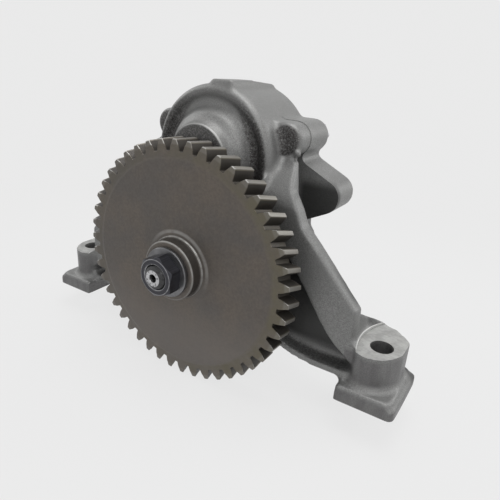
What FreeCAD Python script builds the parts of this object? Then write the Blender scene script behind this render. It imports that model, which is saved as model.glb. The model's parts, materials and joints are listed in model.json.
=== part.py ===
# Gear oil pump on a two-footed bridge bracket, in millimetres.
# The origin lies on the feet's bottom plane, midway between the two foot holes.
# X runs along the feet, -Y faces the helical gear and +Z is up.
# Pieces named right lie at +X; their twins at -X are mirror images.
import FreeCAD, Part
import math
import os
import re
import Sketcher

Vector = FreeCAD.Vector

doc = FreeCAD.newDocument("oil_pump")
sheet = doc.addObject("Spreadsheet::Sheet", "Sizes")

# Driving dimensions: alias, value, what it is.
SIZES = [
    ("axis_rise", 56.0, "drive shaft axis above the feet"),
    ("shaft_spacing", 62.0, "driven shaft axis above the drive shaft axis"),
    ("joint_back", 19.5, "joint plane behind the foot holes"),
    ("core_front", 3.0, "front wall of the body in front of the foot holes"),
    ("boss_front", 18.4, "bearing boss faces in front of the foot holes"),
    ("gear_teeth", 46, "teeth of the helical gear"),
    ("gear_module", 3.0, "normal module of the helical gear"),
    ("gear_helix", 15.0, "helix angle of the helical gear, right hand"),
    ("gear_pressure", 20.0, "normal pressure angle of the helical gear"),
    ("gear_turn", -9.454, "turn of the helical gear's tooth pattern at rest"),
    ("gear_face", 14.0, "face width of the helical gear"),
    ("gear_clear", 1.7, "gap between the helical gear and the bosses"),
    ("gear_tip_bevel", 0.5, "bevel of the tooth tips at both faces"),
    ("web_radius", 63.6, "raised web of the helical gear"),
    ("web_rise", 0.6, "web above the gear's front face"),
    ("hub_radius", 18.3, "hub of the helical gear"),
    ("hub_foot", 22.6, "foot of the hub on the web"),
    ("hub_front", 9.0, "hub in front of the gear's front face"),
    ("hub_bevel", 1.5, "bevel of the hub's front edge"),
    ("thrust_clear", 0.3, "gap between the hub and the bearing boss"),
    ("journal_radius", 12.0, "drive shaft in its bushes"),
    ("seat_step", 2.0, "step from there down to the helical gear's seat"),
    ("driven_radius", 10.0, "driven shaft"),
    ("running_clear", 0.03, "radial clearance of shafts in their bushes"),
    ("thread_radius", 7.0, "threaded end of the drive shaft"),
    ("centre_radius", 2.4, "centre drilling of the shaft's end"),
    ("nut_flats", 22.0, "hex nut across the flats"),
    ("nut_height", 8.3, "height of the hex nut"),
    ("washer_radius", 15.0, "washer under the hex nut"),
    ("washer_thickness", 2.5, "thickness of that washer"),
    ("shaft_proud", 1.8, "shaft end in front of the nut"),
    ("key_width", 5.0, "width of both keys"),
    ("key_height", 5.0, "height of both keys"),
    ("key_slack", 0.1, "room above a key in its keyway"),
    ("drive_bush_wall", 3.0, "wall of the drive shaft's bushes"),
    ("driven_bush_wall", 3.0, "wall of the driven shaft's bushes"),
    ("rotor_teeth", 12, "teeth of each pump gear"),
    ("rotor_pressure", 25.0, "pressure angle of the pump gears"),
    ("rotor_backlash", 0.3, "backlash of the pump gears at the pitch circle"),
    ("rotor_tip_clear", 0.1, "gap between the pump gears and the chamber wall"),
    ("rotor_side_clear", 0.05, "gap beside the pump gears at each end"),
    ("chamber_depth", 19.0, "depth of the gear chamber in the housing"),
    ("barrel_radius", 41.0, "outside of both castings round the chamber"),
    ("housing_depth", 25.3, "depth of the housing behind the joint plane"),
    ("bearing_boss_length", 11.0, "rear bearing bosses behind the housing"),
    ("bearing_boss_wall", 4.5, "wall of the rear bearing bosses"),
    ("cap_thickness", 1.5, "sheet of the bore caps"),
    ("cap_height", 5.0, "height of the bore caps"),
    ("boss_radius", 20.3, "driven shaft's front boss"),
    ("boss_bevel", 2.0, "bevel of that boss"),
    ("drive_boss_radius", 26.0, "drive shaft's front boss"),
    ("pad_width", 15.0, "pad along the top of both castings"),
    ("pad_rise", 2.2, "pad above the barrel"),
    ("pad_offset", 5.0, "pad to the right of the middle"),
    ("pad_fall", 2.0, "fall of the pad towards the back of the housing"),
    ("ear_across", 43.0, "upper bolt ears from the middle"),
    ("ear_rise", 13.6, "upper bolt ears above the driven shaft"),
    ("ear_radius", 9.7, "upper bolt ears"),
    ("ear_front", 13.0, "front ends of the ears in front of the joint plane"),
    ("side_bolt_across", 40.5, "side bolts from the middle"),
    ("side_bolt_rise", 45.5, "side bolts above the drive shaft"),
    ("low_bolt_circle", 43.5, "circle of the lower bolts round the drive shaft"),
    ("low_bolt_angle", 15.0, "upper pair of the lower bolts below the horizontal"),
    ("foot_bolt_angle", 60.0, "lower pair of the lower bolts below the horizontal"),
    ("low_ear_radius", 8.5, "ears of the lower bolts"),
    ("bolt_radius", 4.0, "cover bolts"),
    ("bolt_clear", 0.5, "radial clearance of the bolts in the housing"),
    ("bolt_grip", 11.0, "thread length of the cover bolts in the body"),
    ("bolt_flats", 13.0, "bolt heads across the flats"),
    ("bolt_head", 5.3, "height of the bolt heads"),
    ("bolt_washer_radius", 8.0, "washers under the bolt heads"),
    ("bolt_washer", 1.6, "thickness of those washers"),
    ("dowel_radius", 3.5, "dowel pins of the joint"),
    ("dowel_length", 14.0, "length of the dowel pins"),
    ("dowel_circle", 43.2, "circle of the dowels round the drive shaft"),
    ("dowel_angle", 36.8, "dowels below the horizontal"),
    ("lobe_across", 63.5, "pipe flange lobes from the middle"),
    ("lobe_rise", 44.2, "pipe flange lobes above the drive shaft"),
    ("lobe_radius", 10.2, "pipe flange lobes"),
    ("port_across", 40.0, "ports from the middle"),
    ("port_drop", 3.0, "ports below the line between the two shafts"),
    ("discharge_radius", 7.5, "discharge port"),
    ("suction_radius", 9.0, "suction port"),
    ("flange_across", 43.5, "lower pipe flange bolts from the middle"),
    ("flange_rise", 10.0, "lower pipe flange bolts above the drive shaft"),
    ("flange_thread", 4.0, "threads of the pipe flanges"),
    ("flange_thread_depth", 14.0, "depth of those threads"),
    ("pocket_height", 14.0, "height of the suction and discharge pockets"),
    ("pocket_depth", 16.5, "depth of those pockets from the joint plane"),
    ("foot_spacing", 234.6, "distance between the foot holes"),
    ("foot_hole_radius", 6.5, "foot holes"),
    ("foot_height", 29.3, "milled tops of the feet"),
    ("foot_step", 0.9, "raw casting above the milled tops"),
    ("foot_inner", 16.7, "foot plates inwards of their holes"),
    ("foot_outer", 17.5, "foot plates outwards of their holes"),
    ("foot_front", 21.0, "foot plates in front of their holes"),
    ("foot_back", 25.0, "foot plates behind their holes"),
    ("foot_plate", 6.0, "edge of the foot plates"),
    ("leg_front", 11.0, "front faces of the legs in front of the foot holes"),
    ("leg_depth", 10.0, "depth of the legs from front to back"),
    ("web_back", 8.0, "webs behind the foot holes"),
    ("web_front", 1.0, "front faces of the webs in front of the foot holes"),
    ("rib_front", 12.0, "lower ribs in front of the foot holes"),
    ("rib_back", 13.0, "lower ribs behind the foot holes"),
    ("rib_height", 4.2, "height of the lower ribs"),
    ("rib_low", 8.4, "lower ribs above the feet at their outer ends"),
    ("rib_high", 14.4, "lower ribs above the feet at the middle"),
    ("valve_back", 9.0, "relief valve axis behind the foot holes"),
    ("valve_radius", 6.5, "bore of the relief valve"),
    ("valve_clear", 0.03, "radial clearance of the relief piston"),
    ("valve_travel", 8.0, "travel of the relief piston"),
    ("valve_seat_across", 12.0, "seat of the relief piston from the middle"),
    ("valve_inlet_radius", 4.5, "inlet of the relief valve"),
    ("piston_length", 16.0, "length of the relief piston"),
    ("piston_wall", 2.0, "wall of the relief piston"),
    ("plug_radius", 8.0, "thread of the relief valve's plug"),
    ("plug_grip", 11.0, "thread length of that plug"),
    ("plug_face_across", 58.0, "face of the body under the plug from the middle"),
    ("plug_flats", 18.0, "head of that plug across the flats"),
    ("plug_head", 6.0, "height of that head"),
    ("seal_thickness", 1.5, "seal ring under that head"),
    ("spring_wire", 0.9, "radius of the spring's wire"),
    ("spring_radius", 3.4, "mean radius of the spring"),
    ("spring_turns", 6, "turns of the spring"),
]
for row, (alias, amount, words) in enumerate(SIZES, 1):
    sheet.set("A%d" % row, words)
    sheet.set("B%d" % row, "%g" % amount)
    sheet.setAlias("B%d" % row, alias)
doc.recompute()

ALIASES = {alias for alias, amount, words in SIZES}
WORD = re.compile(r"[a-z][a-z_]*")

# Heights and places that several pieces share, as expressions on the sheet.
DRIVEN_Z = "(axis_rise + shaft_spacing)"
MESH_Z = "(axis_rise + shaft_spacing / 2)"
PORT_Z = "(axis_rise + shaft_spacing / 2 - port_drop)"
SEAT_RADIUS = "(journal_radius - seat_step)"
FLARE = "(barrel_radius - boss_radius)"
HOUSING_BACK = "(joint_back + housing_depth)"
CHAMBER_BACK = "(joint_back + chamber_depth)"
GEAR_BACK = "(-boss_front - gear_clear)"
GEAR_FRONT = "(-boss_front - gear_clear - gear_face)"
HUB_FRONT = "(-boss_front - gear_clear - gear_face - hub_front)"
HUB_BACK = "(-boss_front - thrust_clear)"
WASHER_FRONT = "(-boss_front - gear_clear - gear_face - hub_front - washer_thickness)"
NUT_FRONT = "(-boss_front - gear_clear - gear_face - hub_front - washer_thickness - nut_height)"
BOSS_END = "(joint_back + housing_depth + bearing_boss_length)"
EAR_Z = "(axis_rise + shaft_spacing + ear_rise)"
FOOT_X = "(foot_spacing / 2)"
ROTOR_TIP = "(shaft_spacing / 2 * (1 + 2 / rotor_teeth))"
CHAMBER_RADIUS = "(shaft_spacing / 2 * (1 + 2 / rotor_teeth) + rotor_tip_clear)"


def cells(text):
    """The expression with each size turned into its cell of the sheet."""
    return WORD.sub(lambda m: "Sizes." + m.group() if m.group() in ALIASES else m.group(), text)


def number(text):
    """The value of an expression on the sheet."""
    result = sheet.evalExpression(cells(str(text)))
    return float(getattr(result, "Value", result))


def bind(thing, **sizes):
    """Binds properties of an object to expressions on the sheet."""
    for name, text in sizes.items():
        thing.setExpression(name, cells(str(text)))


def place(thing, x="0", y="0", z="0"):
    """Binds an object's place to expressions on the sheet."""
    for axis, text in (("x", x), ("y", y), ("z", z)):
        thing.setExpression(".Placement.Base." + axis, cells(str(text)))


def named(thing, label):
    thing.Label = label
    return thing


def flat_sketch(body, role, corners):
    """A closed outline on an origin plane; every corner is bound to the sheet."""
    sketch = body.newObject("Sketcher::SketchObject", body.Name + "Outline")
    plane = [part for part in body.Origin.OriginFeatures if part.Role == role][0]
    sketch.AttachmentSupport = [(plane, "")]
    sketch.MapMode = "FlatFace"
    places = [(number(across), number(up)) for across, up in corners]
    count = len(corners)
    for i in range(count):
        start, end = Vector(*places[i], 0), Vector(*places[(i + 1) % count], 0)
        sketch.addGeometry(Part.LineSegment(start, end), False)
    for i in range(count):
        sketch.addConstraint(Sketcher.Constraint("Coincident", i, 2, (i + 1) % count, 1))
    for i, corner in enumerate(corners):
        for kind, text, value in zip(("DistanceX", "DistanceY"), corner, places[i]):
            index = sketch.addConstraint(Sketcher.Constraint(kind, -1, 1, i, 1, value))
            sketch.setExpression("Constraints[%d]" % index, cells(str(text)))
    return sketch


def prism(name, corners, front, back):
    """An outline of (x, z) corners that reaches from the front to the back plane."""
    body = doc.addObject("PartDesign::Body", name)
    pad = body.newObject("PartDesign::Pad", name + "Pad")
    pad.Profile = flat_sketch(body, "XZ_Plane", corners)
    bind(pad, Length="(%s) - (%s)" % (back, front))
    place(body, y=back)
    return body


def beam(name, corners, left, right):
    """An outline of (y, z) corners that reaches from a left to a right place."""
    body = doc.addObject("PartDesign::Body", name)
    pad = body.newObject("PartDesign::Pad", name + "Pad")
    pad.Profile = flat_sketch(body, "YZ_Plane", corners)
    bind(pad, Length="(%s) - (%s)" % (right, left))
    place(body, x=left)
    return body


def slab(name, corners, low, high):
    """An outline of (x, y) corners that reaches from a low to a high level."""
    body = doc.addObject("PartDesign::Body", name)
    pad = body.newObject("PartDesign::Pad", name + "Pad")
    pad.Profile = flat_sketch(body, "XY_Plane", corners)
    bind(pad, Length="(%s) - (%s)" % (high, low))
    place(body, z=low)
    return body


def turned(name, corners, x="0", z="0"):
    """A profile of (radius, y) corners turned round an axis along Y."""
    body = doc.addObject("PartDesign::Body", name)
    turn = body.newObject("PartDesign::Revolution", name + "Turn")
    turn.Profile = flat_sketch(body, "XY_Plane", corners)
    turn.ReferenceAxis = (turn.Profile[0], ["V_Axis"])
    turn.Angle = 360
    place(body, x=x, z=z)
    return body


def disc(name, radius, front, back, x="0", z="0"):
    """A cylinder along Y between two planes."""
    body = doc.addObject("Part::Cylinder", name)
    bind(body, Radius=radius, Height="(%s) - (%s)" % (back, front))
    body.Placement.Rotation = FreeCAD.Rotation(Vector(1, 0, 0), -90)
    place(body, x, front, z)
    return body


def rod(name, radius, left, right, y, z):
    """A cylinder along X between two places."""
    body = doc.addObject("Part::Cylinder", name)
    bind(body, Radius=radius, Height="(%s) - (%s)" % (right, left))
    body.Placement.Rotation = FreeCAD.Rotation(Vector(0, 1, 0), 90)
    place(body, left, y, z)
    return body


def post(name, radius, low, high, x, y):
    """A cylinder along Z between two levels."""
    body = doc.addObject("Part::Cylinder", name)
    bind(body, Radius=radius, Height="(%s) - (%s)" % (high, low))
    place(body, x, y, low)
    return body


def box(name, left, right, front, back, low, high):
    body = doc.addObject("Part::Box", name)
    bind(body, Length="(%s) - (%s)" % (right, left), Width="(%s) - (%s)" % (back, front),
         Height="(%s) - (%s)" % (high, low))
    place(body, left, front, low)
    return body


def hexagon(name, flats, height, axis, x, y, z):
    """A hexagonal prism whose base is centred on a place and which reaches along an axis."""
    body = doc.addObject("Part::Prism", name)
    body.Polygon = 6
    bind(body, Circumradius="(%s) / sqrt(3)" % flats, Height=height)
    body.Placement.Rotation = FreeCAD.Rotation(Vector(0, 0, 1), axis)
    place(body, x, y, z)
    return body


def fuse(name, parts):
    body = doc.addObject("Part::MultiFuse", name)
    body.Shapes = parts
    body.Refine = True
    return body


def common(name, parts):
    body = doc.addObject("Part::MultiCommon", name)
    body.Shapes = parts
    return body


def cut(name, base, tools):
    body = doc.addObject("Part::Cut", name)
    body.Base = base
    body.Tool = tools[0] if len(tools) == 1 else fuse(name + "Tools", tools)
    body.Refine = True
    return body


def mirrored(source, name):
    """The twin of an object on the other side of the middle."""
    twin = doc.addObject("Part::Mirroring", name)
    twin.Source = source
    twin.Normal = Vector(1, 0, 0)
    return twin


def both_sides(source):
    return [source, mirrored(source, source.Name + "Twin")]


def group(name, parts):
    """Separate solids that share one node."""
    body = doc.addObject("Part::Compound", name)
    body.Links = parts
    return body


def low_bolt(angle):
    """The place of a bolt on the lower bolt circle, as expressions."""
    across = "low_bolt_circle * cos(%s)" % angle
    up = "axis_rise - low_bolt_circle * sin(%s)" % angle
    return across, up


BOLT_PLACES = [
    ("Ear", "ear_across", EAR_Z),
    ("Side", "side_bolt_across", "axis_rise + side_bolt_rise"),
    ("Low", *low_bolt("low_bolt_angle")),
    ("Foot", *low_bolt("foot_bolt_angle")),
]
DOWEL_PLACE = ("dowel_circle * cos(dowel_angle)", "axis_rise - dowel_circle * sin(dowel_angle)")


def both_castings(name, front, back):
    """The parts of the outline round the gear chamber that both castings share."""
    low, foot = low_bolt("low_bolt_angle"), low_bolt("foot_bolt_angle")
    skirt = prism(name + "Skirt", [
        ("-(%s) - low_ear_radius" % low[0], low[1]),
        ("-(%s) - low_ear_radius * 0.8" % foot[0], "(%s) - low_ear_radius * 0.6" % foot[1]),
        ("(%s) + low_ear_radius * 0.8" % foot[0], "(%s) - low_ear_radius * 0.6" % foot[1]),
        ("(%s) + low_ear_radius" % low[0], low[1]),
        ("flange_across + low_ear_radius", "axis_rise + flange_rise"),
        ("-flange_across - low_ear_radius", "axis_rise + flange_rise"),
    ], front, back)
    waist = prism(name + "Waist", [
        ("-flange_across - low_ear_radius", "axis_rise + flange_rise"),
        ("flange_across + low_ear_radius", "axis_rise + flange_rise"),
        ("flange_across + 4.5", "axis_rise + flange_rise + 8"),
        ("side_bolt_across + 7.5", "axis_rise + side_bolt_rise"),
        ("barrel_radius", "%s - 14" % EAR_Z),
        ("-barrel_radius", "%s - 14" % EAR_Z),
        ("-side_bolt_across - 7.5", "axis_rise + side_bolt_rise"),
        ("-flange_across - 4.5", "axis_rise + flange_rise + 8"),
    ], front, back)
    parts = [skirt, waist, disc(name + "Drum", "barrel_radius", front, back, z="axis_rise")]
    for angle in ("low_bolt_angle", "foot_bolt_angle"):
        across, up = low_bolt(angle)
        ear = disc(name + angle.title().replace("_", ""), "low_ear_radius", front, back, across, up)
        parts += both_sides(ear)
    return parts


def top_pad(name, front, back, fall):
    """A casting's part of the pad on top, which falls towards the back."""
    return beam(name, [
        (front, DRIVEN_Z + " + barrel_radius - 5"),
        (back, DRIVEN_Z + " + barrel_radius - 5"),
        (back, DRIVEN_Z + " + barrel_radius + pad_rise - %s" % fall),
        (front, DRIVEN_Z + " + barrel_radius + pad_rise"),
    ], "pad_offset - pad_width / 2", "pad_offset + pad_width / 2")


def leg():
    """The right leg: a deep rib that falls from the barrel to the foot."""
    return prism("Leg", [
        ("barrel_radius - 2", "axis_rise + 56"),
        ("side_bolt_across + 5.5", "axis_rise + 57"),
        ("side_bolt_across + 10", "axis_rise + 55.5"),
        ("side_bolt_across + 15.5", "axis_rise + 51.5"),
        ("side_bolt_across + 19.5", "axis_rise + 47.5"),
        ("side_bolt_across + 23", "axis_rise + 41.5"),
        ("side_bolt_across + 26", "axis_rise + 34"),
        ("%s - 36.6" % FOOT_X, "foot_height + 45.7"),
        ("%s - 24.4" % FOOT_X, "foot_height + 31.9"),
        ("%s - 15" % FOOT_X, "foot_height + 21.5"),
        ("%s - 9" % FOOT_X, "foot_height + 15"),
        ("%s - 9" % FOOT_X, "foot_height - 12"),
        ("%s - 15" % FOOT_X, "foot_height - 9.8"),
        ("%s - 18.9" % FOOT_X, "foot_height - 6.4"),
        ("%s - 24.2" % FOOT_X, "foot_height - 2.7"),
        ("%s - 29.2" % FOOT_X, "foot_height + 2.5"),
        ("%s - 34.3" % FOOT_X, "foot_height + 9"),
        ("%s - 45.5" % FOOT_X, "foot_height + 25.5"),
        ("%s - 60" % FOOT_X, "foot_height + 45"),
        ("barrel_radius - 12", "axis_rise + 30"),
        ("barrel_radius - 4", "axis_rise + 44"),
    ], "-leg_front", "-leg_front + leg_depth")


def web():
    """The thin wall between the right leg and the lower rib."""
    return prism("Web", [
        ("barrel_radius - 12", "axis_rise + 30"),
        ("%s - 45.5" % FOOT_X, "foot_height + 35"),
        ("%s - 14" % FOOT_X, "foot_height"),
        ("%s - foot_inner + 2" % FOOT_X, "rib_low + 1"),
        ("%s - 50" % FOOT_X, "rib_low + 3"),
        ("0", "rib_high + 1"),
        ("0", "axis_rise"),
    ], "-web_front", "web_back")


def lower_rib():
    """The right half of the shallow arch that ties the two feet."""
    return prism("Rib", [
        ("0", "rib_high"),
        ("%s - 62" % FOOT_X, "rib_high - 0.6"),
        ("%s - 56" % FOOT_X, "rib_low + 4.4"),
        ("%s - 49" % FOOT_X, "rib_low + 2.2"),
        ("%s - 42" % FOOT_X, "rib_low + 1"),
        ("%s - 35" % FOOT_X, "rib_low + 0.2"),
        ("%s - foot_inner + 3" % FOOT_X, "rib_low"),
        ("%s - foot_inner + 3" % FOOT_X, "rib_low + rib_height"),
        ("%s - 35" % FOOT_X, "rib_low + 0.2 + rib_height"),
        ("%s - 42" % FOOT_X, "rib_low + 1 + rib_height"),
        ("%s - 49" % FOOT_X, "rib_low + 2.2 + rib_height"),
        ("%s - 56" % FOOT_X, "rib_low + 4.4 + rib_height"),
        ("%s - 62" % FOOT_X, "rib_high - 0.6 + rib_height"),
        ("0", "rib_high + rib_height"),
    ], "-rib_front", "rib_back")


def foot():
    """The right foot: a plate with a bevelled edge and the boss of the foot bolt."""
    plate = slab("FootPlate", [
        ("%s - foot_inner" % FOOT_X, "-foot_front"),
        ("%s + foot_outer - 2.8" % FOOT_X, "-foot_front"),
        ("%s + foot_outer - 0.8" % FOOT_X, "-foot_front + 2.2"),
        ("%s + foot_outer - 0.3" % FOOT_X, "-foot_front + 17"),
        ("%s + foot_outer" % FOOT_X, "foot_back - 12"),
        ("%s + foot_outer" % FOOT_X, "foot_back - 5.5"),
        ("%s + foot_outer - 2.2" % FOOT_X, "foot_back - 1.8"),
        ("%s + foot_outer - 7" % FOOT_X, "foot_back"),
        ("%s - foot_inner" % FOOT_X, "foot_back"),
    ], "0", "foot_plate")
    bevel = slab("FootBevel", [
        ("%s - foot_inner" % FOOT_X, "-foot_front + 2.6"),
        ("%s + foot_outer - 5.2" % FOOT_X, "-foot_front + 2.6"),
        ("%s + foot_outer - 3.4" % FOOT_X, "-foot_front + 4.4"),
        ("%s + foot_outer - 2.7" % FOOT_X, "-foot_front + 17"),
        ("%s + foot_outer - 2.4" % FOOT_X, "foot_back - 12"),
        ("%s + foot_outer - 2.6" % FOOT_X, "foot_back - 7.5"),
        ("%s + foot_outer - 5" % FOOT_X, "foot_back - 3.8"),
        ("%s + foot_outer - 9" % FOOT_X, "foot_back - 2"),
        ("%s - foot_inner" % FOOT_X, "foot_back - 2"),
    ], "foot_plate", "foot_plate + 3")
    boss = slab("FootBoss", [
        ("%s - foot_inner" % FOOT_X, "-web_front - 1"),
        ("%s - 14" % FOOT_X, "-leg_front + 5.5"),
        ("%s - 11.8" % FOOT_X, "-leg_front + 0.5"),
        ("%s - 10.4" % FOOT_X, "-leg_front - 2.4"),
        ("%s - 7.5" % FOOT_X, "-leg_front - 4"),
        ("%s - 4" % FOOT_X, "-leg_front - 4.6"),
        ("%s - 0.5" % FOOT_X, "-leg_front - 4"),
        ("%s + 4.5" % FOOT_X, "-leg_front - 1.5"),
        ("%s + 8.5" % FOOT_X, "-leg_front + 3"),
        ("%s + 11.2" % FOOT_X, "-leg_front + 8.5"),
        ("%s + 12.2" % FOOT_X, "0"),
        ("%s + 12.2" % FOOT_X, "foot_back - 11.5"),
        ("%s + 7.5" % FOOT_X, "foot_back - 6.5"),
        ("%s + 1.2" % FOOT_X, "foot_back - 1.2"),
        ("%s - 6.5" % FOOT_X, "foot_back"),
        ("%s - foot_inner" % FOOT_X, "foot_back"),
    ], "foot_plate / 2", "foot_height + 40")
    slope = prism("FootSlope", [
        ("%s - foot_inner" % FOOT_X, "0"),
        ("%s + foot_outer" % FOOT_X, "0"),
        ("%s + foot_outer" % FOOT_X, "foot_height + foot_step"),
        ("%s - 7" % FOOT_X, "foot_height + foot_step"),
        ("%s - 11" % FOOT_X, "foot_height + foot_step + 0.5"),
        ("%s - 14.5" % FOOT_X, "foot_height + foot_step + 1.7"),
        ("%s - foot_inner" % FOOT_X, "foot_height + foot_step + 3.2"),
    ], "-foot_front", "foot_back")
    fall = beam("FootFall", [
        ("-foot_front", "0"),
        ("foot_back", "0"),
        ("foot_back", "foot_height + foot_step + 1.4"),
        ("-leg_front + leg_depth + 4", "foot_height + foot_step + 3.4"),
        ("-leg_front", "foot_height + foot_step + 3.4"),
        ("-leg_front - 2.5", "foot_height + foot_step"),
        ("-foot_front", "foot_height + foot_step"),
    ], "%s - foot_inner - 1" % FOOT_X, "%s + foot_outer + 1" % FOOT_X)
    block = common("FootBlock", [boss, slope, fall])
    return [plate, bevel, block]


def pump_body():
    """The front casting: barrel, bearing bosses, legs, feet and lower rib."""
    barrel = turned("Barrel", [
        ("0", "-boss_front"),
        ("boss_radius - boss_bevel", "-boss_front"),
        ("boss_radius", "-boss_front + boss_bevel"),
        ("boss_radius + 0.02 * %s" % FLARE, "-boss_front + 4.4"),
        ("boss_radius + 0.11 * %s" % FLARE, "-boss_front + 6.2"),
        ("boss_radius + 0.25 * %s" % FLARE, "-boss_front + 8.4"),
        ("boss_radius + 0.34 * %s" % FLARE, "-boss_front + 11.4"),
        ("boss_radius + 0.42 * %s" % FLARE, "-boss_front + 15.2"),
        ("boss_radius + 0.49 * %s" % FLARE, "-core_front + 0.4"),
        ("boss_radius + 0.60 * %s" % FLARE, "-core_front - 0.6"),
        ("boss_radius + 0.74 * %s" % FLARE, "-core_front - 2.8"),
        ("boss_radius + 0.85 * %s" % FLARE, "-core_front - 3.2"),
        ("boss_radius + 0.93 * %s" % FLARE, "-core_front - 2"),
        ("barrel_radius - 0.3", "-core_front + 0.4"),
        ("barrel_radius", "-core_front + 3"),
        ("barrel_radius", "joint_back"),
        ("0", "joint_back"),
    ], z=DRIVEN_Z)
    drive_boss = disc("DriveBoss", "drive_boss_radius", "-boss_front", "0", z="axis_rise")
    ear = turned("BodyEar", [
        ("0", "joint_back - ear_front"),
        ("ear_radius - 2.6", "joint_back - ear_front"),
        ("ear_radius - 0.8", "joint_back - ear_front + 0.8"),
        ("ear_radius", "joint_back - ear_front + 2.6"),
        ("ear_radius", "joint_back"),
        ("0", "joint_back"),
    ], "ear_across", EAR_Z)
    ear_arm = prism("BodyEarArm", [
        ("ear_across", "%s + ear_radius" % EAR_Z),
        ("ear_across - 10", "%s + ear_radius" % EAR_Z),
        ("ear_across - 20", EAR_Z),
        ("ear_across", "%s - ear_radius" % EAR_Z),
    ], "joint_back - ear_front + 1.5", "joint_back")
    right = [leg(), web(), lower_rib(), ear, ear_arm] + foot()
    valve_wall = rod("ValveWall", "valve_radius + 3.8", "-plug_face_across", "valve_seat_across + 6",
                     "valve_back", MESH_Z)
    solids = both_castings("Body", "-core_front", "joint_back") + [
        barrel, drive_boss, valve_wall, top_pad("BodyPad", "-core_front - 1", "joint_back", "0")]
    for part in right:
        solids += both_sides(part)
    raw = fuse("BodyRaw", solids)

    holes = [
        disc("DriveBushHole", "journal_radius + drive_bush_wall", "-boss_front", "joint_back",
             z="axis_rise"),
        disc("DrivenBushHole", "driven_radius + driven_bush_wall", "-boss_front + 4", "joint_back",
             z=DRIVEN_Z),
        rod("ValveBore", "valve_radius", "-plug_face_across", "valve_seat_across", "valve_back",
            MESH_Z),
        rod("ValveInlet", "valve_inlet_radius", "valve_seat_across - 1", "port_across / 2",
            "valve_back", MESH_Z),
        disc("ValveFeed", "valve_inlet_radius - 0.5", "valve_back - valve_inlet_radius + 1",
             "joint_back", "port_across / 2", MESH_Z),
        disc("ValveDump", "valve_travel / 2 - 0.6", "-core_front - 6", "valve_back",
             "valve_seat_across - valve_travel / 2", MESH_Z),
        rod("PlugHole", "plug_radius", "-plug_face_across", "-plug_face_across + plug_grip",
            "valve_back", MESH_Z),
        rod("PlugSeat", "plug_flats * 0.65", "-plug_face_across - 30", "-plug_face_across",
            "valve_back", MESH_Z),
    ]
    for name, across, up in BOLT_PLACES:
        holes += both_sides(disc("Thread" + name, "bolt_radius", "joint_back - bolt_grip",
                                 "joint_back", across, up))
    holes += both_sides(disc("BodyDowelHole", "dowel_radius", "joint_back - dowel_length / 2",
                             "joint_back", *DOWEL_PLACE))
    milling = post("FootMilling", "50", "foot_height", "foot_height + foot_step + 30",
                   "%s + 37.5" % FOOT_X, "2")
    hole = post("FootHole", "foot_hole_radius", "-1", "foot_height + 1", FOOT_X, "0")
    holes += both_sides(milling) + both_sides(hole)
    return named(cut("PumpBody", raw, holes), "pump_body")


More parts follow.
